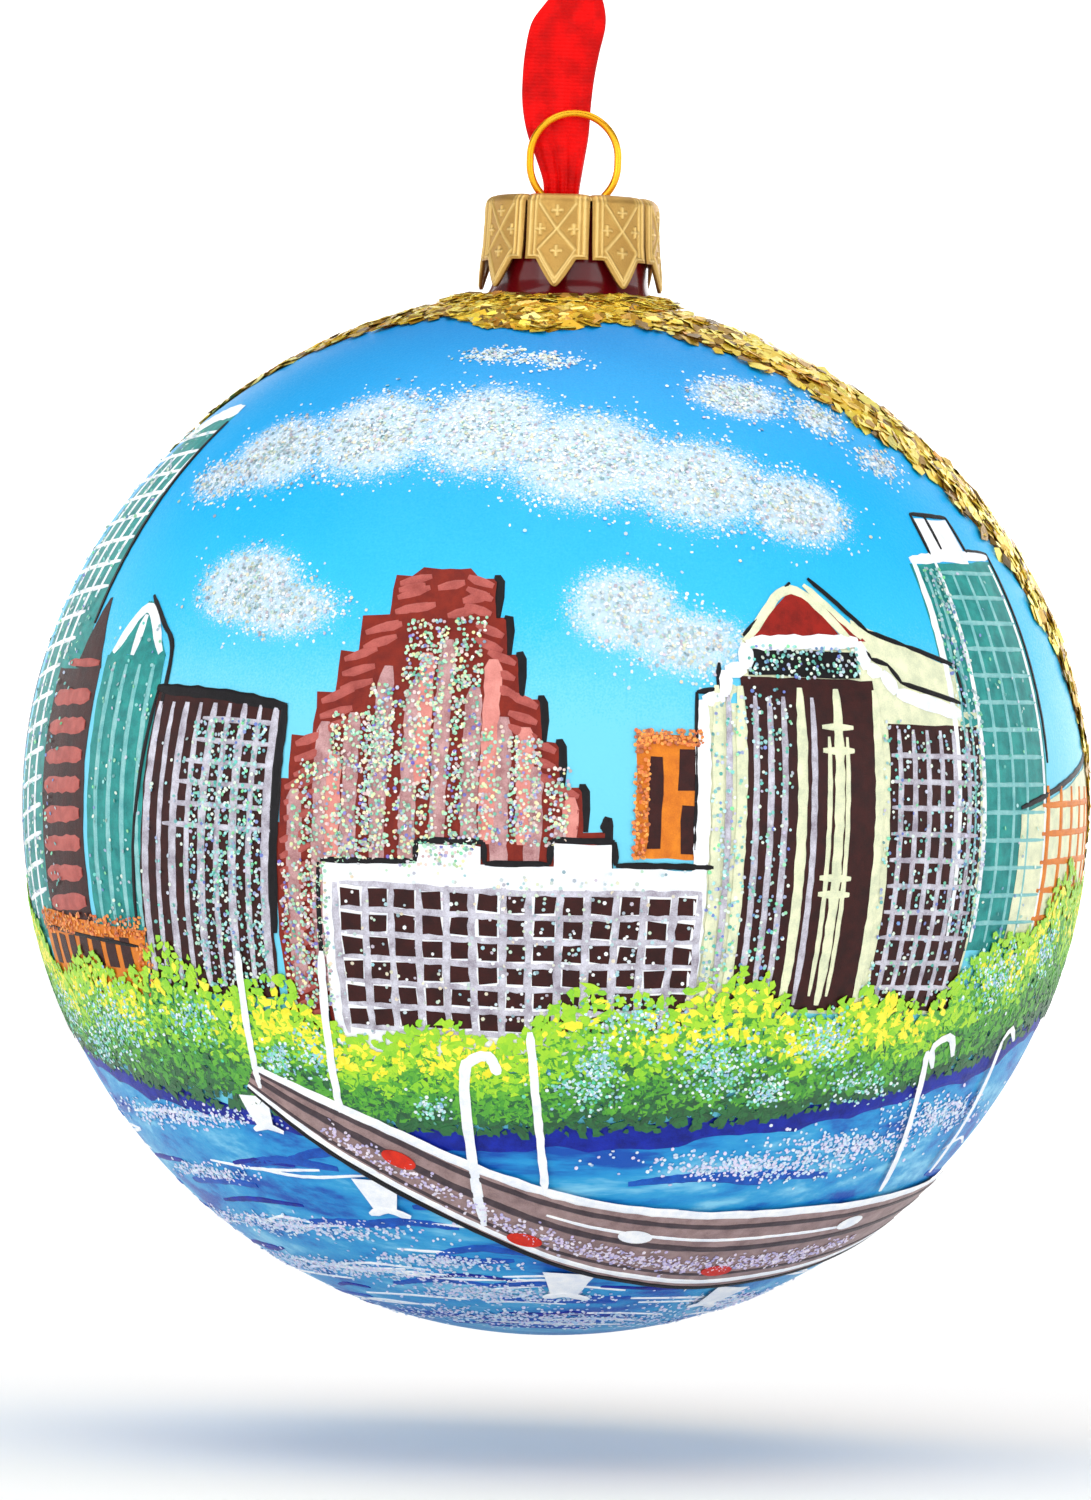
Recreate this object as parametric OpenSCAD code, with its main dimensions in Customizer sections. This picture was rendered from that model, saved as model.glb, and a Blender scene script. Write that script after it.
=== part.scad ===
// Glass ball ornament with a neck, a stamped cap, a wire hanger and a ribbon.
// The origin is where a hook bears inside the ribbon's top loop, and the picture faces -Y.
// Heights whose names end in _h are measured up from the ball's centre.

/* [Ball] */
// Diameter of the ball at its widest
ball_d = 100; // [90:1:120]
// How much lower the blown top is than a true half ball
top_sink = 2.2; // [0.5:0.1:4]
// Thickness of the glass
glass_t = 0.9; // [0.6:0.1:1.5]
// Outside diameter of the neck
neck_d = 14.6; // [13:0.1:18]
// Height of the neck above the ball's top
neck_rise = 8.2; // [6:0.1:12]
// Radius of the fillet between neck and ball
shoulder_r = 2.5; // [1:0.1:4]

/* [Picture] */
// Thickness of the coat of paint
coat_t = 0.25; // [0.15:0.05:0.6]
// Thickness of the crust of gold flakes
flake_t = 0.7; // [0.4:0.1:1]
// Width of the flake border, square to its own plane
flake_w = 9.2; // [4:0.1:11]
// Distance from the ball's centre to the plane of the picture's edge
edge_offset = 11.3; // [8:0.1:14]
// Tilt of that plane's normal back from vertical
edge_tilt = 57.8; // [52:0.1:64]
// Turn of that plane's normal about the vertical
edge_turn = -17; // [-30:1:30]

/* [Cap] */
// Clearance between the neck and the cap's skirt
cap_gap = 0.55; // [0.3:0.05:1]
// Thickness of the sheet that the cap is stamped from
sheet_t = 0.3; // [0.2:0.05:0.5]
// Number of leaves round the skirt
leaves = 8; // [6:1:10]
// Turn of the leaves about the neck
leaf_turn = -10; // [-22:1:22]
// Length of the skirt down to the shoulders of its leaves
skirt_len = 6.2; // [4.5:0.1:7]
// Length of the pointed tongue below the shoulders
tongue_len = 2.6; // [1.5:0.1:2.8]
// Width of a tongue at its root
tongue_w = 4; // [2.5:0.1:4.4]
// How far the skirt flares out at its foot
flare = 0.6; // [0:0.1:0.9]
// Width of the slit between two leaves
slit_w = 0.25; // [0.15:0.05:0.4]
// How far the disc lies below the rim
dish = 0.7; // [0.4:0.1:1]

/* [Hanger] */
// Diameter of the wire
wire_d = 0.7; // [0.5:0.05:1]
// Radius of the ring, at the middle of the wire
ring_r = 4.14; // [3.6:0.02:5]
// Straight length at the ring's sides
ring_side = 0.7; // [0:0.1:2]
// Clearance round each leg in the cap's holes
leg_gap = 0.2; // [0.1:0.05:0.4]
// How far the ring can be lifted
lift = 3; // [1:0.5:4]
// Length of each spring leg's slanting stretch
spring_len = 7.5; // [5:0.1:9]
// Clearance between the spring legs and the bore of the neck
spring_gap = 0.2; // [0.1:0.05:0.5]

/* [Ribbon] */
// Width of the ribbon lying flat
ribbon_w = 7; // [5:0.5:9]
// Thickness of the ribbon's soft solid
ribbon_t = 0.5; // [0.3:0.1:0.6]
// Radius of the hook that the top loop fits
hook_r = 2.7; // [2:0.1:3.5]
// Height of the knot
knot_h = 4.6; // [3.5:0.1:5]
// Width of the knot
knot_w = 5.4; // [4.5:0.1:6]

/* [Hidden] */
$fn = 96;

// Gap between soft pieces on bodies that move apart
soft_gap = 0.3;
// Distance from the hook pivot to the tip of the top loop
loop_drop = 6;
// Clearance between the neck's lip and the cap's disc
lip_gap = 0.1;
// The ring's arc runs this far below its middle before it bends into a leg
ring_dip = 42;
// Radius of the bend from the ring to a leg
bend_r = 1.2;
// Height of those bends' lower ends above the disc
ring_clear = 0.34;
// Heights along the axis
ball_r = ball_d / 2;
crown_h = ball_r - top_sink;
neck_top_h = crown_h + neck_rise;
disc_h = neck_top_h + lip_gap + sheet_t;
rim_h = disc_h + dish;
ring_low_h = disc_h + ring_clear + bend_r * sin(ring_dip) + ring_r * sin(ring_dip);
ring_mid_h = ring_low_h + ring_side;
ring_top_h = ring_mid_h + ring_r + wire_d / 2;
leg_x = ring_r * cos(ring_dip) - bend_r * (1 - cos(ring_dip));

// The strands run from the foot of the ring up to the knot
strand_len = 20.2;
foot_clear = 0.6;
strand_foot_h = disc_h + foot_clear;
strand_top_h = strand_foot_h + strand_len;
knot_mid_h = strand_top_h + soft_gap + knot_h / 2;
pivot_h = knot_mid_h + knot_h / 2 + soft_gap + loop_drop;
hang_drop = pivot_h + hook_r;

// The ball's outline in the half plane x > 0: a round side that runs smoothly into a flatter top.
// The side's arc is centred this far out from the axis
side_x = 4;
side_r = ball_r - side_x;
top_r = (side_x ^ 2 + crown_h ^ 2 - side_r ^ 2) / (2 * (crown_h - side_r));
top_z = crown_h - top_r;
join_a = atan2(-top_z, side_x);
neck_r = neck_d / 2;
// Angle between two points of an arc
step = 4;

function arc(x, z, r, from, to) =
    let (n = max(2, round(abs(to - from) / step)))
    [for (i = [0:n]) let (a = from + (to - from) * i / n) [x + r * cos(a), z + r * sin(a)]];

// Outline from the bottom pole up to angle top_a of the top arc, grown outwards by g
function ball_line(g, top_a) = concat(
    arc(0, 0, ball_r + g, -90, 0),
    arc(side_x, 0, side_r + g, step, join_a),
    arc(0, top_z, top_r + g, join_a + step, top_a));

// Outline with the neck: the fillet's circle touches the neck's wall and the top arc
function necked_line(g) =
    let (r = neck_r + g, f = shoulder_r - g, fx = r + f, big = top_r + g + f,
         fz = top_z + sqrt(big ^ 2 - fx ^ 2), a = acos(fx / big))
    concat(ball_line(g, a), arc(fx, fz, f, 180 + a - step, 180), [[r, neck_top_h]]);

module at_ball() {
    translate([0, 0, -hang_drop]) children();
}

module ball_solid(g) {
    rotate_extrude() polygon(concat(ball_line(g, 90 - step), [[0, crown_h + g]]));
}

// A slab square to the picture's edge normal, from distance a to distance b
module edge_slab(a, b) {
    w = 3 * ball_d;
    rotate([0, 0, edge_turn]) rotate([-edge_tilt, 0, 0])
        translate([-w / 2, -w / 2, a]) cube([w, w, b - a]);
}

// Outer shape of the ball and its neck, as half a section
module blown_shape() {
    polygon(concat([[0, -ball_r]], necked_line(0), [[0, neck_top_h]]));
}

module glass_ball() {
    color("darkred") at_ball() rotate_extrude() difference() {
        blown_shape();
        polygon(concat([[0, -ball_r + glass_t]], necked_line(-glass_t),
            [[neck_r - glass_t, neck_top_h + 1], [0, neck_top_h + 1]]));
    }
}

// Clearance between the coat and the cap's foot
cap_clear = 0.5;

// A coat of thickness g on the ball, between distances a and b along the picture's edge normal
module coat(g, a, b) {
    at_ball() difference() {
        intersection() {
            ball_solid(g);
            edge_slab(a, b);
        }
        rotate_extrude() blown_shape();
        cylinder(r = foot_r + cap_clear, h = ball_d);
    }
}

module picture_coat() {
    color("deepskyblue") coat(coat_t, -2 * ball_d, edge_offset);
}

module flake_border() {
    color("gold") coat(flake_t, edge_offset, edge_offset + flake_w);
}

// Cap: a dished disc, a rounded rim and a flaring skirt of one thickness
skirt_r = neck_r + cap_gap + sheet_t;
foot_r = skirt_r + flare;
rim_round = 0.9;
shoulder_h = rim_h - skirt_len;
tip_h = shoulder_h - tongue_len;
disc_r = skirt_r - 2 * rim_round + 0.1;
// The skirt starts to flare more this far above the shoulders
knee = 1.4;

// Half a section of the sheet, on its underside for g = 0 and its top for g = sheet_t.
// The disc's outer end moves in by rim_inset * g, so that it meets the rim's arc on both faces.
rim_inset = 0.8;
rim_from = 150;

function cap_line(g) = concat(
    [[0, disc_h - sheet_t + g], [disc_r - rim_inset * g, disc_h - sheet_t + g]],
    arc(skirt_r - rim_round, rim_h - rim_round, rim_round - sheet_t + g, rim_from, 0),
    [[skirt_r - sheet_t + g + flare / 4, shoulder_h + knee], [foot_r - sheet_t + g, tip_h]]);

// Opening between two leaves, half of it, in the plane tangent to the skirt
leaf_half_w = foot_r * sin(180 / leaves);
tip_round = 0.6;
gap_half = [[slit_w / 2, rim_h - 2 * rim_round], [slit_w, shoulder_h], [leaf_half_w - tongue_w / 2, shoulder_h],
            [leaf_half_w - tip_round, tip_h + tip_round / 2], [leaf_half_w - tip_round / 2, tip_h - 1]];

module leaf_gap() {
    rotate([90, 0, 0]) translate([0, 0, neck_r - 1]) linear_extrude(foot_r) polygon(concat(gap_half,
        [for (i = [len(gap_half) - 1:-1:0]) [-gap_half[i][0], gap_half[i][1]]]));
}

hole_h = 4;

module cap() {
    color("goldenrod") at_ball() difference() {
        rotate_extrude() polygon(concat(cap_line(sheet_t), [for (i = [1:len(cap_line(0))])
            cap_line(0)[len(cap_line(0)) - i]]));
        for (i = [0:leaves - 1]) rotate([0, 0, leaf_turn + (i + 0.5) * 360 / leaves]) leaf_gap();
        for (x = [-leg_x, leg_x]) translate([x, 0, disc_h - hole_h / 2]) cylinder(d = wire_d + 2 * leg_gap, h = hole_h);
    }
}

// A wire in the XZ plane, drawn from the top of its first piece downwards along local -Z.
// Each piece is [length, 0] for a straight, or [radius, angle] for a bend, positive towards -X.
// A bead a little thicker than the wire joins each piece to the last.
wire_bead = 0.04;

module wire_run(run, i = 0) {
    sphere(d = wire_d + wire_bead, $fn = 32);
    if (i < len(run)) {
        r = run[i][0];
        a = run[i][1];
        if (a == 0) {
            translate([0, 0, -r]) cylinder(d = wire_d, h = r);
            translate([0, 0, -r]) wire_run(run, i + 1);
        } else {
            s = sign(a);
            translate([-s * r, 0, 0]) rotate([-90, 0, 0])
                rotate([0, 0, s > 0 ? 0 : 180 + a]) rotate_extrude(angle = abs(a))
                translate([r, 0]) circle(d = wire_d, $fn = 32);
            translate([-s * r, 0, 0]) rotate([0, a, 0]) translate([s * r, 0, 0]) wire_run(run, i + 1);
        }
    }
}

// One half of the hanger from the ring's side down: ring, bend, leg, spring leg
spring_bend = 2;
spring_reach = neck_r - glass_t - spring_gap - wire_d / 2 - leg_x;
spring_a = atan2(2 * spring_bend, spring_len)
    + asin((spring_reach - 2 * spring_bend) / norm([spring_len, 2 * spring_bend]));
// The leg stays straight through the disc over the whole lift, and a little below it
leg_spare = 0.2;
leg_len = ring_clear + sheet_t + lift + leg_spare;
// The toe at the end of each spring leg turns in from the glass
toe_a = 18;
toe_len = 1.5;
hanger_half = [[ring_side, 0], [ring_r, ring_dip], [bend_r, -ring_dip], [leg_len, 0],
               [spring_bend, -spring_a], [spring_len, 0], [spring_bend, spring_a + toe_a], [toe_len, 0]];

module hanger_wire() {
    color("gold") at_ball() translate([0, 0, ring_mid_h]) {
        rotate([90, 0, 0]) rotate_extrude(angle = 180) translate([ring_r, 0]) circle(d = wire_d, $fn = 32);
        for (s = [0, 1]) mirror([s, 0, 0]) translate([ring_r, 0, 0]) wire_run(hanger_half);
    }
}

// Ribbon: flat bands swept in the YZ plane, their width along X
function band_normal(p, i) =
    let (a = p[max(i - 1, 0)], b = p[min(i + 1, len(p) - 1)], d = [b[1] - a[1], b[2] - a[2]])
    [-d[1], d[0]] / norm(d);

function band_ring(p, i) =
    let (n = band_normal(p, i), w = p[i][3] / 2, t = ribbon_t / 2, c = t * 0.6)
    [for (q = [[w, c], [w - c, t], [c - w, t], [-w, c], [-w, -c], [c - w, -t], [w - c, -t], [w, -c]])
        [p[i][0] + q[0], p[i][1] + n[0] * q[1], p[i][2] + n[1] * q[1]]];

// p is a list of [x, y, z, width]
module band(p) {
    n = len(p);
    rings = [for (i = [0:n - 1]) each band_ring(p, i)];
    sides = [for (i = [0:n - 2], k = [0:7])
        let (a = 8 * i + k, b = 8 * i + (k + 1) % 8) each [[a, b, b + 8], [a, b + 8, a + 8]]];
    polyhedron(rings, concat(sides, [[for (k = [7:-1:0]) k], [for (k = [0:7]) 8 * (n - 1) + k]]));
}

// Shape of the strands as [x, y, height share, width share]: each from the foot up to the knot.
// Both pass behind the ring's wire and inside it, and turn at the foot.
front_strand = [[-1.1, 0.85, 0.04, 0.48], [-1.1, 0.8, 0.1, 0.52], [-1.3, 0.9, 0.2, 0.66], [-1.6, 0.9, 0.32, 0.84],
                [-1.8, 0.9, 0.45, 0.93], [-1.7, 0.6, 0.58, 0.97], [-1.4, 0.2, 0.7, 1], [-0.9, -0.1, 0.82, 1],
                [-0.4, -0.1, 0.91, 0.8], [0, 0.1, 1, 0.5]];
back_strand = [[-1.1, 2.1, 0.04, 0.48], [-1.1, 2.9, 0.1, 0.52], [-1.3, 3.7, 0.2, 0.66], [-1.6, 4.2, 0.32, 0.84],
               [-1.8, 4.3, 0.45, 0.93], [-1.7, 4.1, 0.58, 0.97], [-1.4, 3.6, 0.7, 1], [-0.9, 2.7, 0.82, 1],
               [-0.4, 1.7, 0.91, 0.8], [0, 0.8, 1, 0.5]];
foot_turn = [[-1.1, 1.1, 0.01, 0.47], [-1.1, 1.5, 0, 0.47], [-1.1, 1.85, 0.01, 0.47]];
strand_route = [for (p = concat([for (i = [len(front_strand) - 1:-1:0]) front_strand[i]], foot_turn, back_strand))
    [p[0], p[1], strand_foot_h + p[2] * strand_len, p[3] * ribbon_w]];

module ribbon_strands() {
    color("red") at_ball() band(strand_route);
}

// The turn of ribbon round the foot of the ring's left side
hitch_tube_r = 0.42;
hitch_r = wire_d / 2 + hitch_tube_r + 0.25;
hitch_rise = hitch_tube_r + 0.14;
hitch_shift = 0.1;

module ribbon_hitch() {
    color("firebrick") at_ball() translate([-leg_x - hitch_shift, 0, disc_h + hitch_rise])
        rotate_extrude() translate([hitch_r, 0]) circle(r = hitch_tube_r, $fn = 32);
}

knot_y = 0.4;

module ribbon_knot() {
    color("firebrick") at_ball() translate([0, knot_y, knot_mid_h]) hull()
        for (x = [-1, 1]) translate([x * (knot_w - knot_h) / 2, 0, 0]) sphere(d = knot_h, $fn = 32);
}

// The tails leave the knot backwards: [x, y, height above the knot's middle, width]
tail_upper = [[0.5, 2.4, 0.6, 3.5], [0.7, 3.6, 0.9, 5], [0.9, 4.9, 0.8, 6.4], [1, 6, 0.1, 6.8], [1, 6.8, -1, 6.8]];
tail_lower = [[-0.5, 2.4, -0.6, 3.5], [-0.8, 3.4, -0.7, 5], [-1.1, 4.4, -1.2, 6.4], [-1.2, 5, -2.1, 6.8]];

module ribbon_tails() {
    color("red") at_ball() translate([0, 0, knot_mid_h]) {
        band(tail_upper);
        band(tail_lower);
    }
}

// Outline round a hook: an arc whose two tangents meet at a point loop_drop below its centre
function drop_line(r, drop) = concat(arc(0, 0, r, -asin(r / drop), 180 + asin(r / drop)), [[0, -drop]]);

// The loop's two sides are joined over this length at its tip
loop_web = 1.2;

module ribbon_hook_loop() {
    color("red") translate([0, 0, -hook_r]) rotate([90, 0, 90])
        translate([0, 0, -ribbon_w / 2]) linear_extrude(ribbon_w) difference() {
            polygon(drop_line(hook_r + ribbon_t, loop_drop));
            polygon(drop_line(hook_r, loop_drop - loop_web));
        }
}

glass_ball();
picture_coat();
flake_border();
cap();
hanger_wire();
ribbon_hitch();
ribbon_strands();
ribbon_knot();
ribbon_tails();
ribbon_hook_loop();
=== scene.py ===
"""Looks of a hanging glass ornament: painted ball, gold flake border, stamped cap, wire ring and ribbon.

Shapes are worked out in millimetres about the ball's centre and placed in the frame by put().
The picture on the ball is laid out in degrees of longitude and latitude: longitude 0 faces -Y.
"""

import math

import bmesh
import bpy
import numpy as np
from mathutils import Matrix, Vector


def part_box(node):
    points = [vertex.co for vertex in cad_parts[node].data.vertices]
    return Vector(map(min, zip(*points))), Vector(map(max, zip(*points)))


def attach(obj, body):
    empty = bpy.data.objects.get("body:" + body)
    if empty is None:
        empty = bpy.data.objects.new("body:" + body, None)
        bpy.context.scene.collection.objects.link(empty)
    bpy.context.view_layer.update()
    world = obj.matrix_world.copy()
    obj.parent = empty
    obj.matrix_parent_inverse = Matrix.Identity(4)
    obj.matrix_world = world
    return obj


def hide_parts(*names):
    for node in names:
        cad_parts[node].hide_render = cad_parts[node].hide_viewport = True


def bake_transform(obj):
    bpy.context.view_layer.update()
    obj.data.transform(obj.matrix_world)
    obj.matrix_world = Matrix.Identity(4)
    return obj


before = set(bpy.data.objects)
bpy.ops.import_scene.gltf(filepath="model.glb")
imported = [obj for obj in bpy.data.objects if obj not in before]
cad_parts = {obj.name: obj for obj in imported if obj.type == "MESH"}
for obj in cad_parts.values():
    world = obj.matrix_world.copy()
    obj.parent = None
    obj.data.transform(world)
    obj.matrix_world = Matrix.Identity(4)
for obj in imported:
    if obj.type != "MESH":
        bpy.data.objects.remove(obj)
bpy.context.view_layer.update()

MM = 0.001
BALL_LOW, BALL_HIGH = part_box("glass_ball")
_, CAP_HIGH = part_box("cap")
_, WIRE_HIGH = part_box("hanger_wire")
KNOT_LOW, KNOT_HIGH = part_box("ribbon_knot")
BALL_R = (BALL_HIGH.x - BALL_LOW.x) / 2 / MM
CENTRE = np.array([0, 0, BALL_LOW.z + BALL_R * MM])
rng = np.random.default_rng(7)


def above_centre(z):
    """Height in millimetres above the ball's centre of a frame height in metres."""
    return (z - CENTRE[2]) / MM


NECK_TOP = above_centre(BALL_HIGH.z)
RIM_TOP = above_centre(CAP_HIGH.z)
RING_TOP = above_centre(WIRE_HIGH.z)
KNOT_MID = above_centre((KNOT_LOW.z + KNOT_HIGH.z) / 2)

# ---------------------------------------------------------------- camera

SENSOR = 36
FOCAL = 216.2
DISTANCE = 850
LEAN = math.radians(1.75)
AIM_X, AIM_Z = -0.99, 5.01
FLOOR_DROP = 61
TENT_R = 4.0
TENT_BEND = 1500


def make_camera():
    """Level with the ball and rolled a little, because the ornament leans in the picture."""
    data = bpy.data.cameras.new("camera")
    data.sensor_width = SENSOR
    data.lens = FOCAL
    data.clip_start = 0.05
    camera = bpy.data.objects.new("camera", data)
    bpy.context.scene.collection.objects.link(camera)
    right = Vector((math.cos(LEAN), 0, math.sin(LEAN)))
    up = Vector((-math.sin(LEAN), 0, math.cos(LEAN)))
    turn = Matrix((right, up, Vector((0, -1, 0)))).transposed().to_4x4()
    place = Vector((AIM_X * MM, -DISTANCE * MM, CENTRE[2] + AIM_Z * MM))
    camera.matrix_world = Matrix.Translation(place) @ turn
    bpy.context.scene.camera = camera


make_camera()

# ---------------------------------------------------------------- mesh tools


def put(points):
    """Millimetres about the ball's centre to metres in the frame."""
    return np.asarray(points, float) * MM + CENTRE


def piece(name, points, faces, material, body=None, replaces=(), slot=None, smooth=True):
    """A mesh object from points in millimetres about the ball's centre."""
    mesh = bpy.data.meshes.new(name)
    mesh.from_pydata(put(points).tolist(), [], [list(map(int, f)) for f in faces])
    mesh.validate()
    mesh.update()
    made = bpy.data.objects.new(name, mesh)
    bpy.context.scene.collection.objects.link(made)
    mesh.materials.append(material)
    if smooth:
        mesh.polygons.foreach_set("use_smooth", np.ones(len(mesh.polygons), bool))
    if body:
        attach(made, body)
    if replaces:
        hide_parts(*replaces)
    return made


def grid_faces(rows, columns, start=0, wrap=False):
    """Quads of a grid of points numbered row by row, the columns closed into a ring by wrap."""
    steps = columns if wrap else columns - 1
    r, c = np.meshgrid(np.arange(rows - 1), np.arange(steps), indexing="ij")
    a = start + r * columns + c
    b = start + r * columns + (c + 1) % columns
    return np.stack([a, b, b + columns, a + columns], -1).reshape(-1, 4)


def grid_border(rows, columns):
    """Pairs of neighbouring points round the outside of a grid."""
    border = list(range(columns)) + [r * columns + columns - 1 for r in range(1, rows)]
    border += [(rows - 1) * columns + c for c in range(columns - 2, -1, -1)]
    border += [r * columns for r in range(rows - 2, 0, -1)]
    return zip(border, border[1:] + border[:1])


def capped_tube(rings, sides):
    """Faces of a tube of points numbered ring by ring, with a face across each end."""
    faces = grid_faces(rings, sides, wrap=True).tolist()
    faces.append(list(range(sides))[::-1])
    faces.append([(rings - 1) * sides + k for k in range(sides)])
    return faces


def store(made, name, values):
    """Keeps a number for each point of a piece, for its shader to read."""
    values = np.asarray(values, np.float32)
    made.data.attributes.new(name, "FLOAT", "POINT").data.foreach_set("value", values)


def revolve(profile, segments):
    """Points and faces of a closed profile of (radius, height) turned about the axis."""
    profile = np.asarray(profile, float)
    angle = np.arange(segments) * 2 * np.pi / segments
    ring = np.stack([np.cos(angle), np.sin(angle)], -1)
    heights = np.repeat(profile[:, None, 1:], segments, 1)
    points = np.concatenate([profile[:, None, :1] * ring[None], heights], -1)
    here = np.arange(len(profile))[:, None]
    after = (here + 1) % len(profile)
    k = np.arange(segments)
    m = (k + 1) % segments
    here, after = here * segments, after * segments
    faces = np.stack([here + k, here + m, after + m, after + k], -1)
    return points.reshape(-1, 3), faces.reshape(-1, 4)


def weld(made, distance=1e-7):
    """Joins points that share a place, so that a turned or capped mesh is closed."""
    work = bmesh.new()
    work.from_mesh(made.data)
    bmesh.ops.remove_doubles(work, verts=work.verts, dist=distance)
    bmesh.ops.dissolve_degenerate(work, edges=work.edges, dist=distance)
    bmesh.ops.recalc_face_normals(work, faces=work.faces)
    work.to_mesh(made.data)
    work.free()
    made.data.update()
    return made


def tube(path, radius, sides):
    """Points and faces of a round tube along a path, with closed ends."""
    path = np.asarray(path, float)
    along = np.gradient(path, axis=0)
    along /= np.linalg.norm(along, axis=1)[:, None]
    across = np.cross(along, [0.0, 1.0, 0.0])
    across /= np.linalg.norm(across, axis=1)[:, None]
    other = np.cross(along, across)
    angle = np.arange(sides) * 2 * np.pi / sides
    points = path[:, None] + radius * (np.cos(angle)[None, :, None] * across[:, None]
                                       + np.sin(angle)[None, :, None] * other[:, None])
    return points.reshape(-1, 3), capped_tube(len(path), sides)


def smooth_line(points, count):
    """A Catmull-Rom curve through the points, as count points."""
    p = np.asarray(points, float)
    p = np.concatenate([[2 * p[0] - p[1]], p, [2 * p[-1] - p[-2]]])
    t = np.linspace(0, len(p) - 3 - 1e-9, count)
    i = t.astype(int)
    f = (t - i)[:, None]
    a, b, c, d = p[i], p[i + 1], p[i + 2], p[i + 3]
    square, cube = 2 * a - 5 * b + 4 * c - d, 3 * b - a - 3 * c + d
    return 0.5 * (2 * b + (c - a) * f + square * f ** 2 + cube * f ** 3)


# ---------------------------------------------------------------- the ball's surface

NECK_R = 7.3
SHOULDER_R = 2.5
GLASS_T = 0.9
SIDE_X = 4
SIDE_R = BALL_R - SIDE_X
CROWN = NECK_TOP - 8.2
TOP_R = (SIDE_X ** 2 + CROWN ** 2 - SIDE_R ** 2) / (2 * (CROWN - SIDE_R))
TOP_Z = CROWN - TOP_R
JOIN = math.atan2(-TOP_Z, SIDE_X)
JOIN_LAT = math.atan2(SIDE_R * math.sin(JOIN), SIDE_X + SIDE_R * math.cos(JOIN))


def reach(lat):
    """Distance from the centre to the ball's surface at a latitude in radians."""
    side = SIDE_X * np.cos(lat) + np.sqrt(SIDE_R ** 2 - (SIDE_X * np.sin(lat)) ** 2)
    top = TOP_Z * np.sin(lat) + np.sqrt(TOP_R ** 2 - (TOP_Z * np.cos(lat)) ** 2)
    return np.where(lat < 0, BALL_R, np.where(lat < JOIN_LAT, side, top))


def on_ball(lon, lat, lift=0.0):
    """Points on the ball, in millimetres about its centre, at degrees of longitude and latitude."""
    lon, lat, lift = np.broadcast_arrays(np.radians(lon), np.radians(lat), lift)
    rho = reach(lat) + lift
    return np.stack([rho * np.cos(lat) * np.sin(lon), -rho * np.cos(lat) * np.cos(lon), rho * np.sin(lat)], -1)


# ---------------------------------------------------------------- material tools


def srgb(red, green, blue):
    """A linear colour from display values of 0 to 255."""
    value = np.array([red, green, blue]) / 255
    linear = np.where(value <= 0.04045, value / 12.92, ((value + 0.055) / 1.055) ** 2.4)
    return (*linear.tolist(), 1.0)


class Shader:
    """A node material, built link by link."""

    def __init__(self, name, **values):
        self.material = bpy.data.materials.new(name)
        self.material.use_nodes = True
        self.nodes = self.material.node_tree.nodes
        self.links = self.material.node_tree.links
        self.shader = self.nodes["Principled BSDF"]
        for socket, value in values.items():
            self.shader.inputs[socket.replace("_", " ")].default_value = value

    def node(self, kind, inputs=(), **settings):
        made = self.nodes.new("ShaderNode" + kind)
        for key, value in settings.items():
            setattr(made, key, value)
        for key, value in dict(inputs).items():
            if isinstance(value, bpy.types.NodeSocket):
                self.links.new(value, made.inputs[key])
            else:
                made.inputs[key].default_value = value
        return made

    def place(self):
        return self.node("TexCoord").outputs["Object"]

    def noise(self, scale, detail=3.0, rough=0.5, vector=None):
        """Noise with a scale in features per metre."""
        inputs = {"Vector": vector or self.place(), "Scale": scale, "Detail": detail, "Roughness": rough}
        return self.node("TexNoise", inputs).outputs["Fac"]

    def value(self, name):
        return self.node("Attribute", attribute_name=name).outputs["Fac"]

    def math(self, operation, a, b=0.5, c=0.5):
        return self.node("Math", {0: a, 1: b, 2: c}, operation=operation).outputs[0]

    def ramp(self, factor, *stops):
        """A colour ramp of (position, colour) stops."""
        made = self.node("ValToRGB", {"Fac": factor})
        ramp = made.color_ramp
        while len(ramp.elements) < len(stops):
            ramp.elements.new(1.0)
        for element, (position, colour) in zip(ramp.elements, stops):
            element.position = position
            element.color = colour if hasattr(colour, "__len__") else (colour, colour, colour, 1)
        return made.outputs["Color"]

    def blend(self, factor, a, b):
        made = self.node("Mix", data_type="RGBA")
        for socket, value in ((made.inputs["Factor"], factor), (made.inputs[6], a), (made.inputs[7], b)):
            if isinstance(value, bpy.types.NodeSocket):
                self.links.new(value, socket)
            else:
                socket.default_value = value
        return made.outputs[2]

    def colour(self, socket):
        self.links.new(socket, self.shader.inputs["Base Color"])

    def rough(self, socket):
        self.links.new(socket, self.shader.inputs["Roughness"])

    def bump(self, height, distance):
        """Bump of a height from 0 to 1, distance in metres."""
        made = self.node("Bump", {"Height": height, "Distance": distance})
        self.links.new(made.outputs["Normal"], self.shader.inputs["Normal"])
        return self


PAINT_GLOSS = 0.42
BRUSH_MARKS = 9000


def paint(name, main, shade):
    """Hand-laid acrylic paint: two tones worked into each other, with a fine brush texture."""
    made = Shader(name, Roughness=PAINT_GLOSS, IOR=1.47, Specular_IOR_Level=0.22)
    tone = made.noise(700, 4.0, 0.6)
    fine = made.noise(BRUSH_MARKS, 2.0)
    mixed = made.math("ADD", made.math("MULTIPLY", tone, 0.7), made.math("MULTIPLY", fine, 0.3))
    made.colour(made.ramp(mixed, (0.36, srgb(*shade)), (0.62, srgb(*main))))
    made.rough(made.ramp(fine, (0.3, PAINT_GLOSS - 0.08), (0.7, PAINT_GLOSS + 0.12)))
    made.bump(mixed, 0.00006)
    return made.material


# ---------------------------------------------------------------- ribbon

RED = srgb(234, 0, 0)
DARK_RED = srgb(196, 0, 0)
RIBBON_W = 7
RIBBON_T = 0.36
FOOT_H = RIM_TOP - 0.1
STRAND_LEN = 20.2


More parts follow.
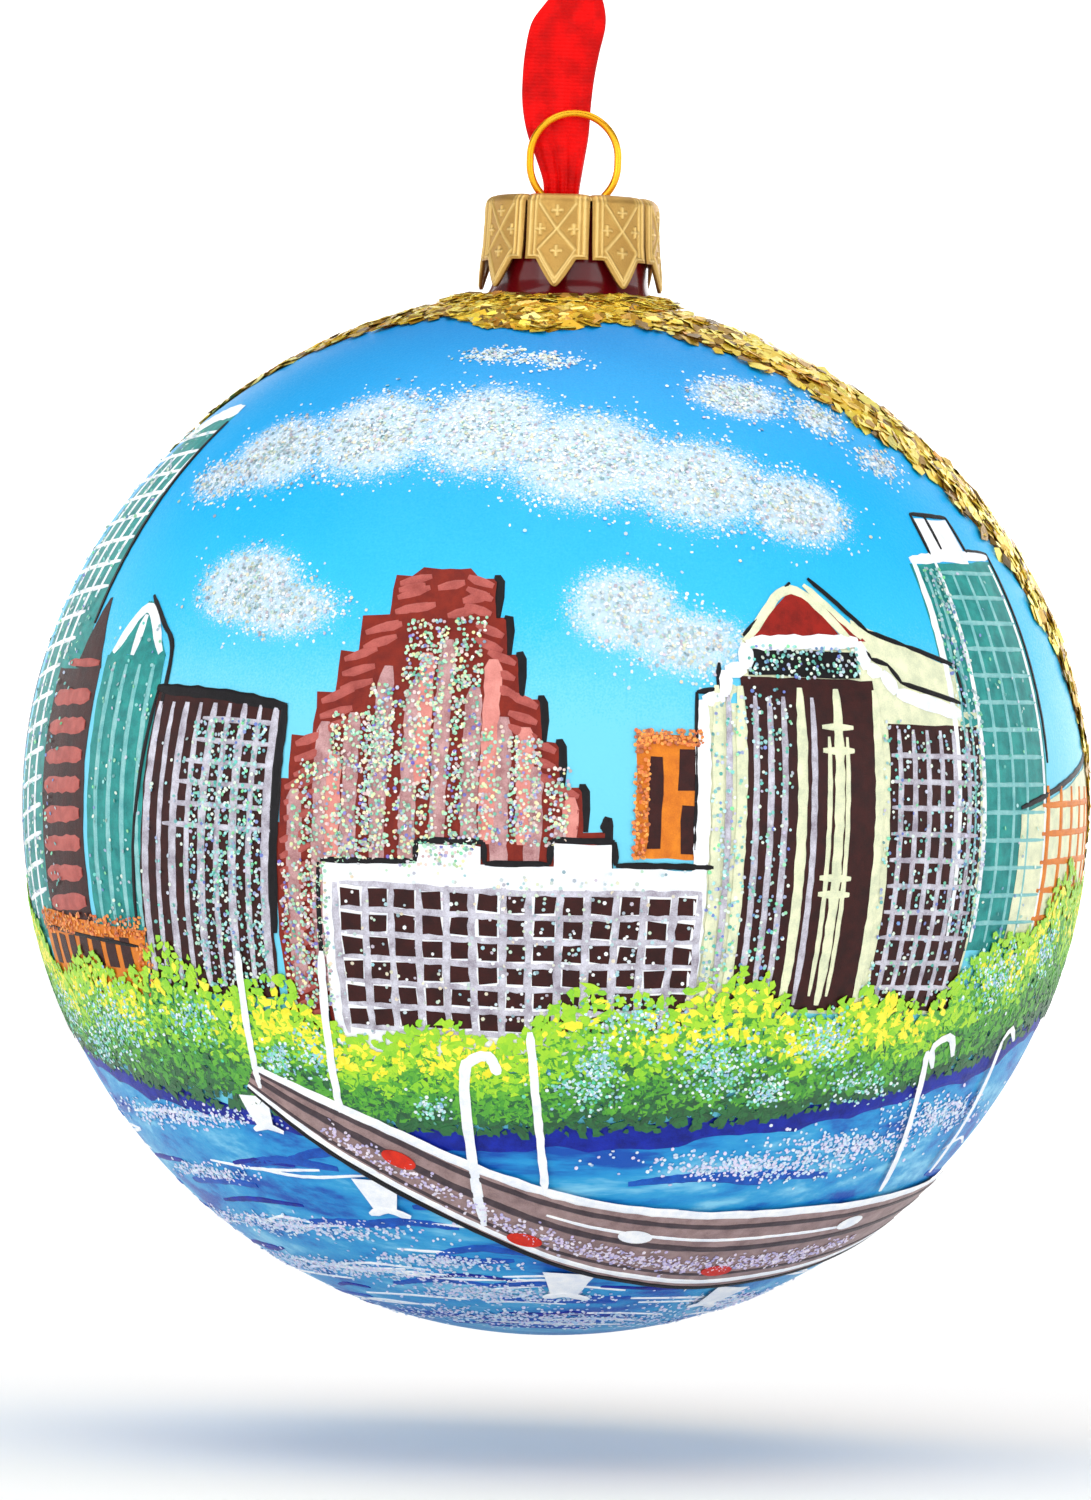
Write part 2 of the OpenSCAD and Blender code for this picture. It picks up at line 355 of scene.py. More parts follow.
def satin():
    """Woven satin: fine crosswise threads and a soft sheen."""
    made = Shader("ribbon_satin", Roughness=0.6, Specular_IOR_Level=0.12, Sheen_Weight=0.04,
                  Sheen_Roughness=0.4)
    thread = made.node("TexWave", {"Vector": made.place(), "Scale": 900.0, "Distortion": 1.2, "Detail": 2.0,
                                   "Detail Scale": 3.0}, wave_type="BANDS", bands_direction="Z").outputs["Fac"]
    weft = made.node("TexWave", {"Vector": made.place(), "Scale": 700.0, "Distortion": 1.0, "Detail": 2.0},
                     wave_type="BANDS", bands_direction="X").outputs["Fac"]
    tone = made.noise(420, 3.0)
    made.colour(made.ramp(tone, (0.35, DARK_RED), (0.6, RED)))
    made.rough(made.ramp(thread, (0.0, 0.42), (1.0, 0.6)))
    made.bump(made.math("ADD", made.math("MULTIPLY", thread, 0.6), made.math("MULTIPLY", weft, 0.4)), 0.00004)
    return made.material


SATIN = satin()


def strand_point(x, y, height, width):
    return [x, y, FOOT_H + height * STRAND_LEN, width * RIBBON_W]


FRONT = [strand_point(*p) for p in (
    (-1.1, 0.85, 0.04, 0.48), (-1.1, 0.8, 0.1, 0.52), (-1.3, 0.9, 0.2, 0.66), (-1.6, 0.9, 0.32, 0.84),
    (-1.8, 0.9, 0.45, 0.93), (-1.7, 0.6, 0.58, 0.97), (-1.4, 0.2, 0.7, 1), (-0.9, -0.1, 0.82, 1),
    (-0.4, -0.1, 0.91, 0.8), (0, 0.1, 1, 0.5))]
FOOT_TURN = [strand_point(*p) for p in (
    (-1.1, 1.1, 0.01, 0.47), (-1.1, 1.5, 0, 0.47), (-1.1, 1.85, 0.01, 0.47))]
BACK = [strand_point(*p) for p in (
    (-1.1, 2.1, 0.04, 0.48), (-1.1, 2.9, 0.1, 0.52), (-1.3, 3.7, 0.2, 0.66), (-1.6, 4.2, 0.32, 0.84),
    (-1.8, 4.3, 0.45, 0.93), (-1.7, 4.1, 0.58, 0.97), (-1.4, 3.6, 0.7, 1), (-0.9, 2.7, 0.82, 1),
    (-0.4, 1.7, 0.91, 0.8), (0, 0.8, 1, 0.5))]
ROUTE = FRONT[::-1] + FOOT_TURN + BACK
# The strands' ends are tucked this far into the knot, as a share of their length
TUCK = 0.06


def band(route, count, folds, fold_depth, thick=RIBBON_T, columns=28, phase=0.0):
    """A soft flat ribbon along points of [x, y, z, width], gathered into lengthwise folds where it narrows."""
    line = smooth_line(route, count)
    centre, width = line[:, :3], line[:, 3]
    along = np.gradient(centre, axis=0)
    normal = np.stack([np.zeros(count), -along[:, 2], along[:, 1]], -1)
    normal /= np.linalg.norm(normal, axis=1)[:, None]
    u = np.linspace(-1, 1, columns)
    gather = 1 - width / RIBBON_W
    depth = fold_depth * (0.25 + gather * 1.5)
    share = np.linspace(0, 1, count)[:, None]
    wave = np.cos(u[None] * folds * np.pi + phase + 1.4 * np.sin(share * 5 + phase))
    wave += 0.5 * np.cos(u[None] * folds * 2.3 * np.pi - 2 * share * 3 + phase)
    offset = depth[:, None] * wave * (1 - 0.35 * u[None] ** 2)
    edge = np.sqrt(np.clip(1 - np.abs(u) ** 12, 0, 1)) * thick / 2
    middle = centre[:, None] + normal[:, None] * offset[..., None]
    middle[..., 0] += u[None] * width[:, None] / 2
    front = middle + normal[:, None] * edge[None, :, None]
    back = middle - normal[:, None] * edge[None, :, None]
    loop = np.concatenate([front, back[:, -2:0:-1]], 1)
    sides = loop.shape[1]
    return loop.reshape(-1, 3), capped_tube(count, sides)


def joined(parts):
    """Points and faces of several meshes as one."""
    points, faces, start = [], [], 0
    for part_points, part_faces in parts:
        points.append(np.asarray(part_points))
        faces += [[int(i) + start for i in f] for f in part_faces]
        start += len(part_points)
    return np.concatenate(points), faces


def make_hitch():
    """The turn of the ribbon round the ring's foot: a ring with soft lengthwise folds."""
    hitch_low, hitch_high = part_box("ribbon_hitch")
    middle = (np.array(hitch_low) + np.array(hitch_high)) / 2
    middle = (middle - CENTRE) / MM
    ring = (hitch_high.x - hitch_low.x) / 2 / MM
    tube_r = (hitch_high.z - hitch_low.z) / 2 / MM
    turns, sides = 48, 20
    angle = np.linspace(0, 2 * np.pi, turns + 1)[:-1]
    around = np.linspace(0, 2 * np.pi, sides + 1)[:-1]
    fold = 1 + 0.12 * np.cos(3 * around)
    r = (ring - tube_r) + tube_r * 0.92 * fold[None] * np.cos(around)[None] + 0 * angle[:, None]
    height = tube_r * 0.95 * np.sin(around)[None] + 0.08 * np.sin(2 * angle)[:, None]
    points = np.stack([r * np.cos(angle)[:, None], r * np.sin(angle)[:, None], height], -1) + middle
    faces = grid_faces(turns, sides, wrap=True).tolist()
    last = (turns - 1) * sides
    faces += [[last + k, last + (k + 1) % sides, (k + 1) % sides, k] for k in range(sides)]
    points = points.reshape(-1, 3)
    return weld(piece("ribbon_turn", points, faces, SATIN, "hanger", ["ribbon_hitch"], "ribbon_satin"))


def make_ribbon():
    """Both strands, the hitch round the ring's foot, the knot, its tails and the loop for a hook."""
    tucked = [strand_point(0, 0.3, 1 + TUCK, 0.4)]
    points, faces = band(tucked + ROUTE + tucked, 150, 3, 0.22)
    strands = weld(piece("ribbon_band", points, faces, SATIN, "hanger", ["ribbon_strands"], "ribbon_satin"))
    hitch = make_hitch()
    knot = make_knot()
    tails = joined([band([[x, y, KNOT_MID + z, w] for x, y, z, w in route], 40, 1.5, 0.16, phase=turn)
                    for route, turn in ((TAIL_UPPER, 0.3), (TAIL_LOWER, 1.9))])
    tails = weld(piece("ribbon_ends", *tails, SATIN, "knot", ["ribbon_tails"], "ribbon_satin"))
    loop = make_hook_loop()


TAIL_UPPER = [[0.5, 2.4, 0.6, 3.5], [0.7, 3.6, 0.9, 5], [0.9, 4.9, 0.8, 6.4], [1, 6, 0.1, 6.8],
              [1, 6.8, -1, 6.8]]
TAIL_LOWER = [[-0.5, 2.4, -0.6, 3.5], [-0.8, 3.4, -0.7, 5], [-1.1, 4.4, -1.2, 6.4], [-1.2, 5, -2.1, 6.8]]


def make_knot():
    """An overhand knot: a plump lozenge crossed by two gathered turns of the ribbon."""
    half = (np.array(KNOT_HIGH) - np.array(KNOT_LOW)) / 2 / MM
    middle = ((np.array(KNOT_HIGH) + np.array(KNOT_LOW)) / 2 - CENTRE) / MM
    rows, columns = 60, 96
    lat = np.linspace(-np.pi / 2, np.pi / 2, rows)[:, None]
    lon = np.linspace(0, 2 * np.pi, columns + 1)[None, :-1]
    x = np.cos(lat) * np.cos(lon)
    y = np.cos(lat) * np.sin(lon)
    z = np.sin(lat) + 0 * lon
    turn = 0.55 * x + 0.85 * z
    groove = np.exp(-(turn / 0.16) ** 2) + 0.8 * np.exp(-((0.8 * x - 0.6 * z - 0.25) / 0.12) ** 2)
    folds = 0.025 * np.cos(14 * (0.85 * x - 0.5 * z)) + 0.02 * np.cos(23 * turn + 3 * y)
    r = 0.97 - 0.13 * groove + folds
    points = np.stack([x * r, y * r, z * r], -1) * half * 0.98 + middle
    return weld(piece("ribbon_knot_turns", points.reshape(-1, 3), grid_faces(rows, columns, wrap=True), SATIN,
                      "knot", ["ribbon_knot"], "ribbon_satin"))


def make_hook_loop():
    """The small loop over the knot: a flat band whose two sides come together at the knot."""
    hook_r, drop, reach_out = 2.7, 6.0, 0.25
    pivot = above_centre(0) - hook_r
    r = hook_r + reach_out
    tangent = math.asin(r / drop)
    arc = [(r * math.cos(a), r * math.sin(a)) for a in np.linspace(-tangent, math.pi + tangent, 40)]
    start = [(0.2, -drop - 1.6), (0.22, -drop - 0.4), (0.35, -drop + 0.5), (0.95, -drop + 1.7),
             (1.75, -drop + 3.0)]
    line = start + arc + [(-y, z) for y, z in start[::-1]]
    widths = [0.4, 0.44, 0.6, 0.76, 0.9] + [1] * len(arc) + [0.9, 0.76, 0.6, 0.44, 0.4]
    route = [[0, y, pivot + z, w * RIBBON_W] for (y, z), w in zip(line, widths)]
    points, faces = band(route, 160, 2, 0.05, thick=0.34)
    loop = weld(piece("ribbon_loop", points, faces, SATIN, None, ["ribbon_hook_loop"], "ribbon_satin"))
    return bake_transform(loop)


make_ribbon()

# ---------------------------------------------------------------- floor and light


def make_stage():
    """A pale floor that curves up all round into a glowing wall, as in a light tent."""
    made = Shader("floor_paint", Roughness=0.9, Specular_IOR_Level=0.1)
    made.colour(made.ramp(made.noise(3, 2.0), (0.3, (0.93, 0.93, 0.93, 1)), (0.7, (0.95, 0.95, 0.95, 1))))
    made.shader.inputs["Emission Color"].default_value = (1, 1, 1, 1)
    away = made.node("VectorMath", {0: made.place()}, operation="LENGTH").outputs["Value"]
    glow = made.ramp(made.math("MULTIPLY", away, 1 / TENT_R), (0.06, 0.0), (0.3, 0.5), (0.7, 0.9))
    made.links.new(glow, made.shader.inputs["Emission Strength"])
    flat = TENT_R / MM - TENT_BEND
    line = [(r, 0.0) for r in np.linspace(0, flat, 30)]
    line += [(flat + TENT_BEND * math.sin(a), TENT_BEND - TENT_BEND * math.cos(a))
             for a in np.linspace(0, np.pi / 2, 20)[1:]]
    angle = np.arange(96) * 2 * np.pi / 96
    points = [[r * math.cos(a), r * math.sin(a), z - FLOOR_DROP] for r, z in line for a in angle]
    floor = weld(piece("floor", points, grid_faces(len(line), 96, wrap=True), made.material))


def area_light(name, place, aim, size, power):
    data = bpy.data.lights.new(name, "AREA")
    data.shape = "RECTANGLE"
    data.size, data.size_y = size
    data.energy = power
    light = bpy.data.objects.new(name, data)
    bpy.context.scene.collection.objects.link(light)
    place, aim = Vector(put(place)), Vector(put(aim))
    light.location = place
    light.rotation_euler = (aim - place).to_track_quat("-Z", "Y").to_euler()


def make_light():
    world = bpy.data.worlds.new("studio")
    world.use_nodes = True
    world.node_tree.nodes["Background"].inputs["Color"].default_value = (1, 1, 1, 1)
    world.node_tree.nodes["Background"].inputs["Strength"].default_value = 0.26
    bpy.context.scene.world = world
    area_light("top", (0, -100, 900), (0, 0, -60), (1.2, 1.2), 8.0)
    area_light("key", (-500, -750, 350), (0, 0, 0), (0.5, 0.7), 1.7)
    area_light("fill", (650, -650, 150), (0, 0, 0), (0.5, 0.7), 1.0)
    area_light("low", (0, -900, -70), (0, 0, -100), (0.9, 0.08), 0.5)
    area_light("rear", (300, 800, 350), (0, 0, 0), (0.6, 0.7), 1.5)
    bpy.context.scene.view_settings.view_transform = "Standard"


make_stage()
make_light()

# ---------------------------------------------------------------- glass ball


def ball_profile(grow, top):
    """The ball's outline from the bottom pole, with its fillet and neck, grown outwards."""
    big = TOP_R + SHOULDER_R
    fillet_x = NECK_R + SHOULDER_R
    fillet_z = TOP_Z + math.sqrt(big ** 2 - fillet_x ** 2)
    end = math.acos(fillet_x / big)
    line = [((BALL_R + grow) * math.cos(a), (BALL_R + grow) * math.sin(a))
            for a in np.linspace(-np.pi / 2, 0, 60)]
    line += [(SIDE_X + (SIDE_R + grow) * math.cos(a), (SIDE_R + grow) * math.sin(a))
             for a in np.linspace(0, JOIN, 32)[1:]]
    line += [((TOP_R + grow) * math.cos(a), TOP_Z + (TOP_R + grow) * math.sin(a))
             for a in np.linspace(JOIN, end, 28)[1:]]
    r = SHOULDER_R - grow
    line += [(fillet_x + r * math.cos(a), fillet_z + r * math.sin(a))
             for a in np.linspace(np.pi + end, np.pi, 12)[1:]]
    return line + [(NECK_R + grow, top)]


def lacquer():
    """Dark red lacquer under a clear gloss, a little deeper in tone in places."""
    made = Shader("red_lacquer", Roughness=0.22, Coat_Weight=0.22, Coat_Roughness=0.05,
                  Specular_IOR_Level=0.3)
    tone = made.noise(45, 4.0, 0.6)
    made.colour(made.ramp(tone, (0.3, srgb(84, 2, 10)), (0.7, srgb(120, 8, 18))))
    made.bump(made.noise(160, 2.0), 0.00005)
    return made.material


def make_ball():
    outer = ball_profile(0, NECK_TOP - 0.3)
    lip = [(NECK_R - 0.12, NECK_TOP - 0.06), (NECK_R - 0.45, NECK_TOP), (NECK_R - 0.78, NECK_TOP - 0.06)]
    inner = ball_profile(-GLASS_T, NECK_TOP - 0.3)[::-1]
    points, faces = revolve(outer + lip + inner, 128)
    weld(piece("lacquered_ball", points, faces, lacquer(), "ball", ["glass_ball"], "lacquered_glass"), 2e-6)


make_ball()

# ---------------------------------------------------------------- painted ground

EDGE_OFFSET = 11.3
EDGE_TILT = math.radians(57.8)
EDGE_TURN = math.radians(-17)
FLAKE_W = 9.2
NORMAL = np.array([-math.sin(EDGE_TURN) * math.sin(EDGE_TILT), math.cos(EDGE_TURN) * math.sin(EDGE_TILT),
                   math.cos(EDGE_TILT)])
EDGE_U = np.cross(NORMAL, [0, 0, 1])
EDGE_U /= np.linalg.norm(EDGE_U)
EDGE_V = np.cross(NORMAL, EDGE_U)


def lon_lat(direction):
    lon = np.degrees(np.arctan2(direction[..., 0], -direction[..., 1]))
    lat = np.degrees(np.arcsin(np.clip(direction[..., 2], -1, 1)))
    return lon, lat


def edge_direction(around, away):
    """Unit directions at an angle round the edge's normal and an angle away from it."""
    side = np.cos(around)[..., None] * EDGE_U + np.sin(around)[..., None] * EDGE_V
    return np.cos(away)[..., None] * NORMAL + np.sin(away)[..., None] * side


def edge_angle(around, distance):
    """Angle away from the normal at which the ball's surface lies at that distance along it."""
    low, high = np.zeros_like(around), np.full_like(around, np.pi)
    for _ in range(30):
        middle = (low + high) / 2
        direction = edge_direction(around, middle)
        outside = reach(np.arcsin(direction[..., 2])) * np.cos(middle) > distance
        low, high = np.where(outside, middle, low), np.where(outside, high, middle)
    return middle


def coat_shell(from_distance, to_distance, rings, segments, lift, sink=0.02, wobble=0.0):
    """A closed shell on the ball between two planes square to the edge's normal."""
    around = np.arange(segments) * 2 * np.pi / segments
    inner = edge_angle(around, to_distance) if to_distance is not None else np.zeros(segments)
    outer = edge_angle(around, from_distance) if from_distance is not None else np.full(segments, np.pi)
    share = np.linspace(0, 1, rings)[:, None]
    shake = wobble * (np.sin(around * 31) + 0.7 * np.sin(around * 53 + 1) + 0.5 * np.sin(around * 97 + 2))
    away = inner + (outer - inner) * share + shake * (1 - share if from_distance is None else 1)
    direction = edge_direction(np.broadcast_to(around, away.shape), np.clip(away, 0, np.pi))
    rho = reach(np.arcsin(np.clip(direction[..., 2], -1, 1)))
    top = direction * (rho + lift)[..., None]
    bottom = direction * (rho - sink)[..., None]
    points = np.concatenate([top.reshape(-1, 3), bottom.reshape(-1, 3)])
    half = rings * segments
    faces = grid_faces(rings, segments, wrap=True).tolist()
    faces += [f[::-1] for f in grid_faces(rings, segments, half, wrap=True).tolist()]
    for ring in (0, rings - 1):
        for k in range(segments):
            a, b = ring * segments + k, ring * segments + (k + 1) % segments
            faces.append([a, b, half + b, half + a])
    return points, faces


BANK_LAT = -36.7


def bank_line(lon):
    """Latitude of the far bank's foot."""
    return BANK_LAT + np.minimum(0.0018 * (lon + 12) ** 2, 15)


# Each cloud is longitude, latitude, half width and half height in degrees, and strength
CLOUDS = [(-52, 36, 8, 4, 0.7), (-44, 40, 10, 6.2, 0.95), (-29, 43, 12, 7.6, 1), (-12, 44, 12, 8, 1),
          (3, 40, 13, 8, 1), (18, 37, 12, 7, 0.95), (31, 34, 9, 5.5, 0.95), (31, 51, 11, 4.4, 0.9),
          (45, 48, 7, 4, 0.7),
          (-38, 22.5, 8, 5, 1), (-32, 20, 8.5, 4.2, 0.8), (7, 21, 7, 5.2, 1),
          (14, 17.5, 8.5, 4.4, 0.85), (-15, 58, 9, 2.2, 0.5), (-3, 57, 8, 2.2, 0.4),
          (51, 41, 6, 3, 0.6)]


def cloud_cover(lon, lat):
    cover = np.zeros_like(lon)
    for at_lon, at_lat, half_w, half_h, strength in CLOUDS:
        away = ((lon - at_lon) / half_w) ** 2 + ((lat - at_lat) / half_h) ** 2
        cover = np.maximum(cover, strength * np.exp(-away * 0.9))
    return cover


def fields(made):
    """Stores the smooth fields that the ground's shader reads, at every point of the piece."""
    co = np.zeros(len(made.data.vertices) * 3, np.float32)
    made.data.vertices.foreach_get("co", co)
    away = (co.reshape(-1, 3) - CENTRE) / MM
    lon, lat = lon_lat(away / np.linalg.norm(away, axis=1)[:, None])
    store(made, "lat", lat / 90)
    store(made, "cloud", cloud_cover(lon, lat))
    store(made, "shore", (lat - bank_line(lon)) / 90)


SKY_DEEP = srgb(6, 140, 214)
SKY_MID = srgb(10, 172, 236)
SKY_LOW = srgb(112, 210, 238)
WATER_DARK = srgb(14, 80, 176)
WATER_MID = srgb(30, 144, 210)
WATER_LIGHT = srgb(130, 204, 236)


def ground_paint():
    """Sky and river in one coat: a blue wash that pales towards the horizon, sponged cloud, streaked water."""
    made = Shader("picture_ground", Roughness=0.35, IOR=1.47, Specular_IOR_Level=0.3)
    speck = made.noise(5200, 2.0, 0.6)
    broad = made.noise(110, 4.0, 0.6)
    grain = made.math("MULTIPLY_ADD", speck, 0.2, -0.1)
    lat = made.math("ADD", made.value("lat"), made.math("MULTIPLY_ADD", broad, 0.1, grain))
    lat = made.math("SUBTRACT", lat, 0.05)
    sky = made.ramp(lat, (0.0, SKY_LOW), (0.1, SKY_LOW), (0.22, srgb(52, 192, 240)), (0.4, SKY_MID),
                    (0.72, SKY_DEEP))
    cloud = made.math("MULTIPLY_ADD", speck, 1.5, made.math("MULTIPLY_ADD", made.value("cloud"), 1.7, -1.45))
    cloud = made.ramp(cloud, (0.0, 0.0), (0.5, 0.82))
    sky = made.blend(cloud, sky, srgb(216, 230, 238))
    stretched = made.node("Mapping", {"Vector": made.place(), "Scale": (0.16, 0.5, 1.0)}).outputs["Vector"]
    streak = made.noise(330, 5.0, 0.62, stretched)
    water = made.ramp(streak, (0.36, WATER_DARK), (0.47, WATER_MID), (0.55, srgb(50, 160, 215)),
                      (0.66, WATER_LIGHT))
    shore = made.math("MULTIPLY", made.value("shore"), 30.0)
    made.colour(made.blend(made.ramp(shore, (0.0, 0.0), (0.05, 1.0)), water, sky))
    made.rough(made.ramp(speck, (0.3, 0.3), (0.7, 0.5)))
    made.bump(made.noise(2600, 3.0), 0.00004)
    return made.material


def make_ground():
    points, faces = coat_shell(None, EDGE_OFFSET, 110, 280, 0.08, wobble=0.004)
    ground = piece("painted_ground", points, faces, ground_paint(), "ball", ["picture_coat"], "picture_paint")
    weld(ground)
    fields(ground)


make_ground()

# ---------------------------------------------------------------- painted shapes

BLACK = paint("paint_black", (14, 12, 16), (26, 24, 28))
WHITE = paint("paint_white", (255, 255, 255), (228, 234, 244))
WASH = paint("paint_white_wash", (216, 216, 228), (150, 142, 156))
CREAM = paint("paint_cream", (240, 242, 205), (205, 212, 180))
BROWN = paint("paint_brown", (62, 24, 22), (42, 18, 18))
BRICK = paint("paint_brick", (138, 40, 24), (110, 28, 20))
SALMON = paint("paint_salmon", (190, 98, 90), (156, 72, 66))
PINK = paint("paint_pink", (230, 152, 142), (208, 126, 118))
MAUVE = paint("paint_mauve", (208, 164, 164), (158, 108, 110))
TEAL = paint("paint_teal", (44, 156, 150), (24, 118, 118))
PALE_TEAL = paint("paint_pale_teal", (150, 205, 205), (98, 176, 178))
ORANGE = paint("paint_orange", (232, 136, 34), (204, 108, 30))
RED_PAINT = paint("paint_red", (160, 34, 24), (120, 26, 20))
SCARLET = paint("paint_scarlet", (226, 50, 26), (190, 34, 22))
NAVY = paint("paint_navy", (24, 44, 170), (16, 28, 120))
BLUE = paint("paint_blue", (30, 96, 196), (18, 66, 160))
DECK = paint("paint_deck", (166, 140, 138), (128, 104, 104))
DARK_DECK = paint("paint_dark_deck", (84, 70, 74), (60, 50, 56))

PANEL_STEP = 1.6


class Layer:
    """Painted shapes of one colour, gathered into one piece."""

    def __init__(self, name, material):
        self.name, self.material, self.parts = name, material, []

    def panel(self, left, right, low, high, lift, top_left=None, top_right=None, shake=0.12):
        """A filled shape between two longitudes and two latitudes. Its top may slant or come to a point."""
        top_left = (left, high) if top_left is None else top_left
        top_right = (right, high) if top_right is None else top_right
        rows = max(2, int(abs(high - low) / PANEL_STEP) + 1)
        columns = max(2, int(abs(right - left) / PANEL_STEP) + 1)
        v = np.linspace(0, 1, rows)[:, None]
        u = np.linspace(0, 1, columns)[None]
        bottom = np.stack([left + (right - left) * u, low + 0 * u], -1)
        top = np.stack([top_left[0] + (top_right[0] - top_left[0]) * u,
                        top_left[1] + (top_right[1] - top_left[1]) * u], -1)
        place = bottom * (1 - v[..., None]) + top * v[..., None]
        rim = np.ones((rows, columns), bool)
        rim[1:-1, 1:-1] = False
        place += rng.uniform(-shake, shake, place.shape) * rim[..., None]
        self.sheet(place, lift)
        return self

    def sheet(self, place, lift, thick=0.03):
        """A closed thin sheet over a grid of (longitude, latitude)."""
        rows, columns = place.shape[:2]
        top = on_ball(place[..., 0], place[..., 1], lift).reshape(-1, 3)
        bottom = on_ball(place[..., 0], place[..., 1], lift - thick).reshape(-1, 3)
        half = rows * columns
        faces = grid_faces(rows, columns).tolist()
        faces += [f[::-1] for f in grid_faces(rows, columns, half).tolist()]
        faces += [[b, a, half + a, half + b] for a, b in grid_border(rows, columns)]
        self.parts.append((np.concatenate([top, bottom]), faces))

    def stroke(self, points, width, lift, taper=0.15, shake=0.05):
        """A brush stroke through (longitude, latitude) points, domed, with slightly ragged edges."""
        points = np.asarray(points, float)
        length = np.linalg.norm(np.diff(points, axis=0), axis=1).sum()
        count = int(np.clip(length / 0.9, 4, 60))
        line = smooth_line(points, count) if len(points) > 2 else np.linspace(points[0], points[1], count)
        here = on_ball(line[:, 0], line[:, 1], lift)
        out = here / np.linalg.norm(here, axis=1)[:, None]
        along = np.gradient(here, axis=0)
        across = np.cross(along, out)
        across /= np.linalg.norm(across, axis=1)[:, None]
        end = np.minimum(np.linspace(0, 1, count), np.linspace(1, 0, count)) / taper
        half = width / 2 * np.clip(0.55 + 0.45 * np.sqrt(np.clip(end, 0, 1)), 0, 1)
        left = half * (1 + rng.uniform(-shake, shake, count) * 3)
        right = half * (1 + rng.uniform(-shake, shake, count) * 3)
        rise = 0.045
        rings = np.stack([here - across * left[:, None] - out * 0.03,
                          here - across * (left * 0.55)[:, None] + out * rise,
                          here + across * (right * 0.55)[:, None] + out * rise,
                          here + across * right[:, None] - out * 0.03], 1)
        self.parts.append((rings.reshape(-1, 3), capped_tube(count, 4)))
        return self

    def chain(self, points, width, lift):
        """Separate straight strokes from each point to the next."""
        for a, b in zip(points, points[1:]):
            self.stroke([a, b], width, lift)
        return self

    def uprights(self, longitudes, low, high, width, lift, lean=0.0):
        """Upright strokes at several longitudes. Their tops lean by some degrees."""
        for lon in longitudes:
            self.stroke([(lon, low), (lon + lean, high)], width, lift)
        return self

    def levels(self, latitudes, left, right, width, lift, rise=0.0):
        """Level strokes at several latitudes. Their right ends rise by some degrees."""
        for lat in latitudes:
            self.stroke([(left, lat), (right, lat + rise)], width, lift)
        return self

    def oval(self, lon, lat, half_w, half_h, lift, turn=0.0):
        """A flat painted oval, of half sizes in degrees of latitude."""
        angle = np.arange(20) * 2 * np.pi / 20
        x, y = half_w * np.cos(angle), half_h * np.sin(angle)
        c, s = math.cos(turn), math.sin(turn)
        at_lon = lon + (x * c - y * s) / math.cos(math.radians(lat))
        at_lat = lat + x * s + y * c
        top = on_ball(at_lon, at_lat, lift)
        bottom = on_ball(at_lon, at_lat, lift - 0.05)
        faces = [list(range(20)), list(range(39, 19, -1))]
        faces += [[k, 20 + k, 20 + (k + 1) % 20, (k + 1) % 20] for k in range(20)]
        self.parts.append((np.concatenate([top, bottom]), faces))

    def make(self):
        points, faces = joined(self.parts)
        made = piece(self.name, points, faces, self.material, "ball", slot="picture_paint", smooth=False)
        return weld(made, 1e-9)


# Layers of paint lie on each other in this order, in millimetres above the glass
BASE, DETAIL, LINE, TRIM = 0.10, 0.13, 0.15, 0.17
HALL = 0.25


def tower_far_left():
    """A glazed tower that follows the picture's left limb."""
    Layer("far_left_tower", TEAL).panel(-84, -64, -16, 46, BASE, (-78, 43), (-65, 47)).make()
    lines = Layer("far_left_tower_lines", WHITE)
    for lon, low in ((-79, -14), (-75, -14), (-71, 14), (-67.5, 21)):
        lines.stroke([(lon, low), (lon + 2.5, 40)], 0.55, DETAIL)
    for lat in range(-12, 43, 3):
        right = -65 if lat > 20 else -69 if lat > 12 else -71.8
        lines.stroke([(-83, lat), (right, lat + 1.4)], 0.5, DETAIL)
    lines.stroke([(-80, 43), (-72, 46), (-65, 47)], 2.2, LINE).make()
    Layer("far_left_tower_outline", BLACK).stroke([(-64.5, 18), (-64.2, 30), (-65, 45)], 0.7, LINE).make()


def tower_spire():
    """A brown tower with pink brick courses and a pointed roof."""
    body = Layer("spire_tower", BROWN).panel(-71, -59.5, -14, 13, DETAIL)
    body.panel(-66, -59.5, 13, 21, DETAIL, (-62.8, 21), (-62.2, 21)).make()
    courses = Layer("spire_tower_courses", SALMON)
    for lat in np.arange(-12, 12, 3.1):
        courses.stroke([(-70.2, lat), (-60.4, lat + 0.3)], 1.5, LINE)
    courses.stroke([(-68, 13.6), (-60, 13.6)], 0.8, LINE).make()


def tower_pointed():
    """A teal tower with white ribs and a pointed white tip."""
    body = Layer("pointed_tower", TEAL).panel(-58.5, -47.5, -16, 14.5, LINE)
    body.panel(-58.2, -47.5, 14.5, 20.5, LINE, (-53.4, 20.5), (-52.4, 20.5)).make()
    ribs = Layer("pointed_tower_ribs", PALE_TEAL)
    ribs.uprights((-57, -54.5, -52, -49.5), -14, 13.5, 0.7, TRIM, lean=0.4).make()
    tip = Layer("pointed_tower_tip", WHITE).stroke([(-57.5, 14.8), (-53, 19.8), (-48.5, 14.8)], 1.1, TRIM)
    tip.stroke([(-53.5, 14.5), (-53, 19)], 1.1, TRIM).make()
    outline = Layer("pointed_tower_outline", BLACK)
    outline.stroke([(-53, 21.2), (-49.5, 18.2), (-46.6, 14.6), (-46.8, 4)], 0.55, TRIM).make()


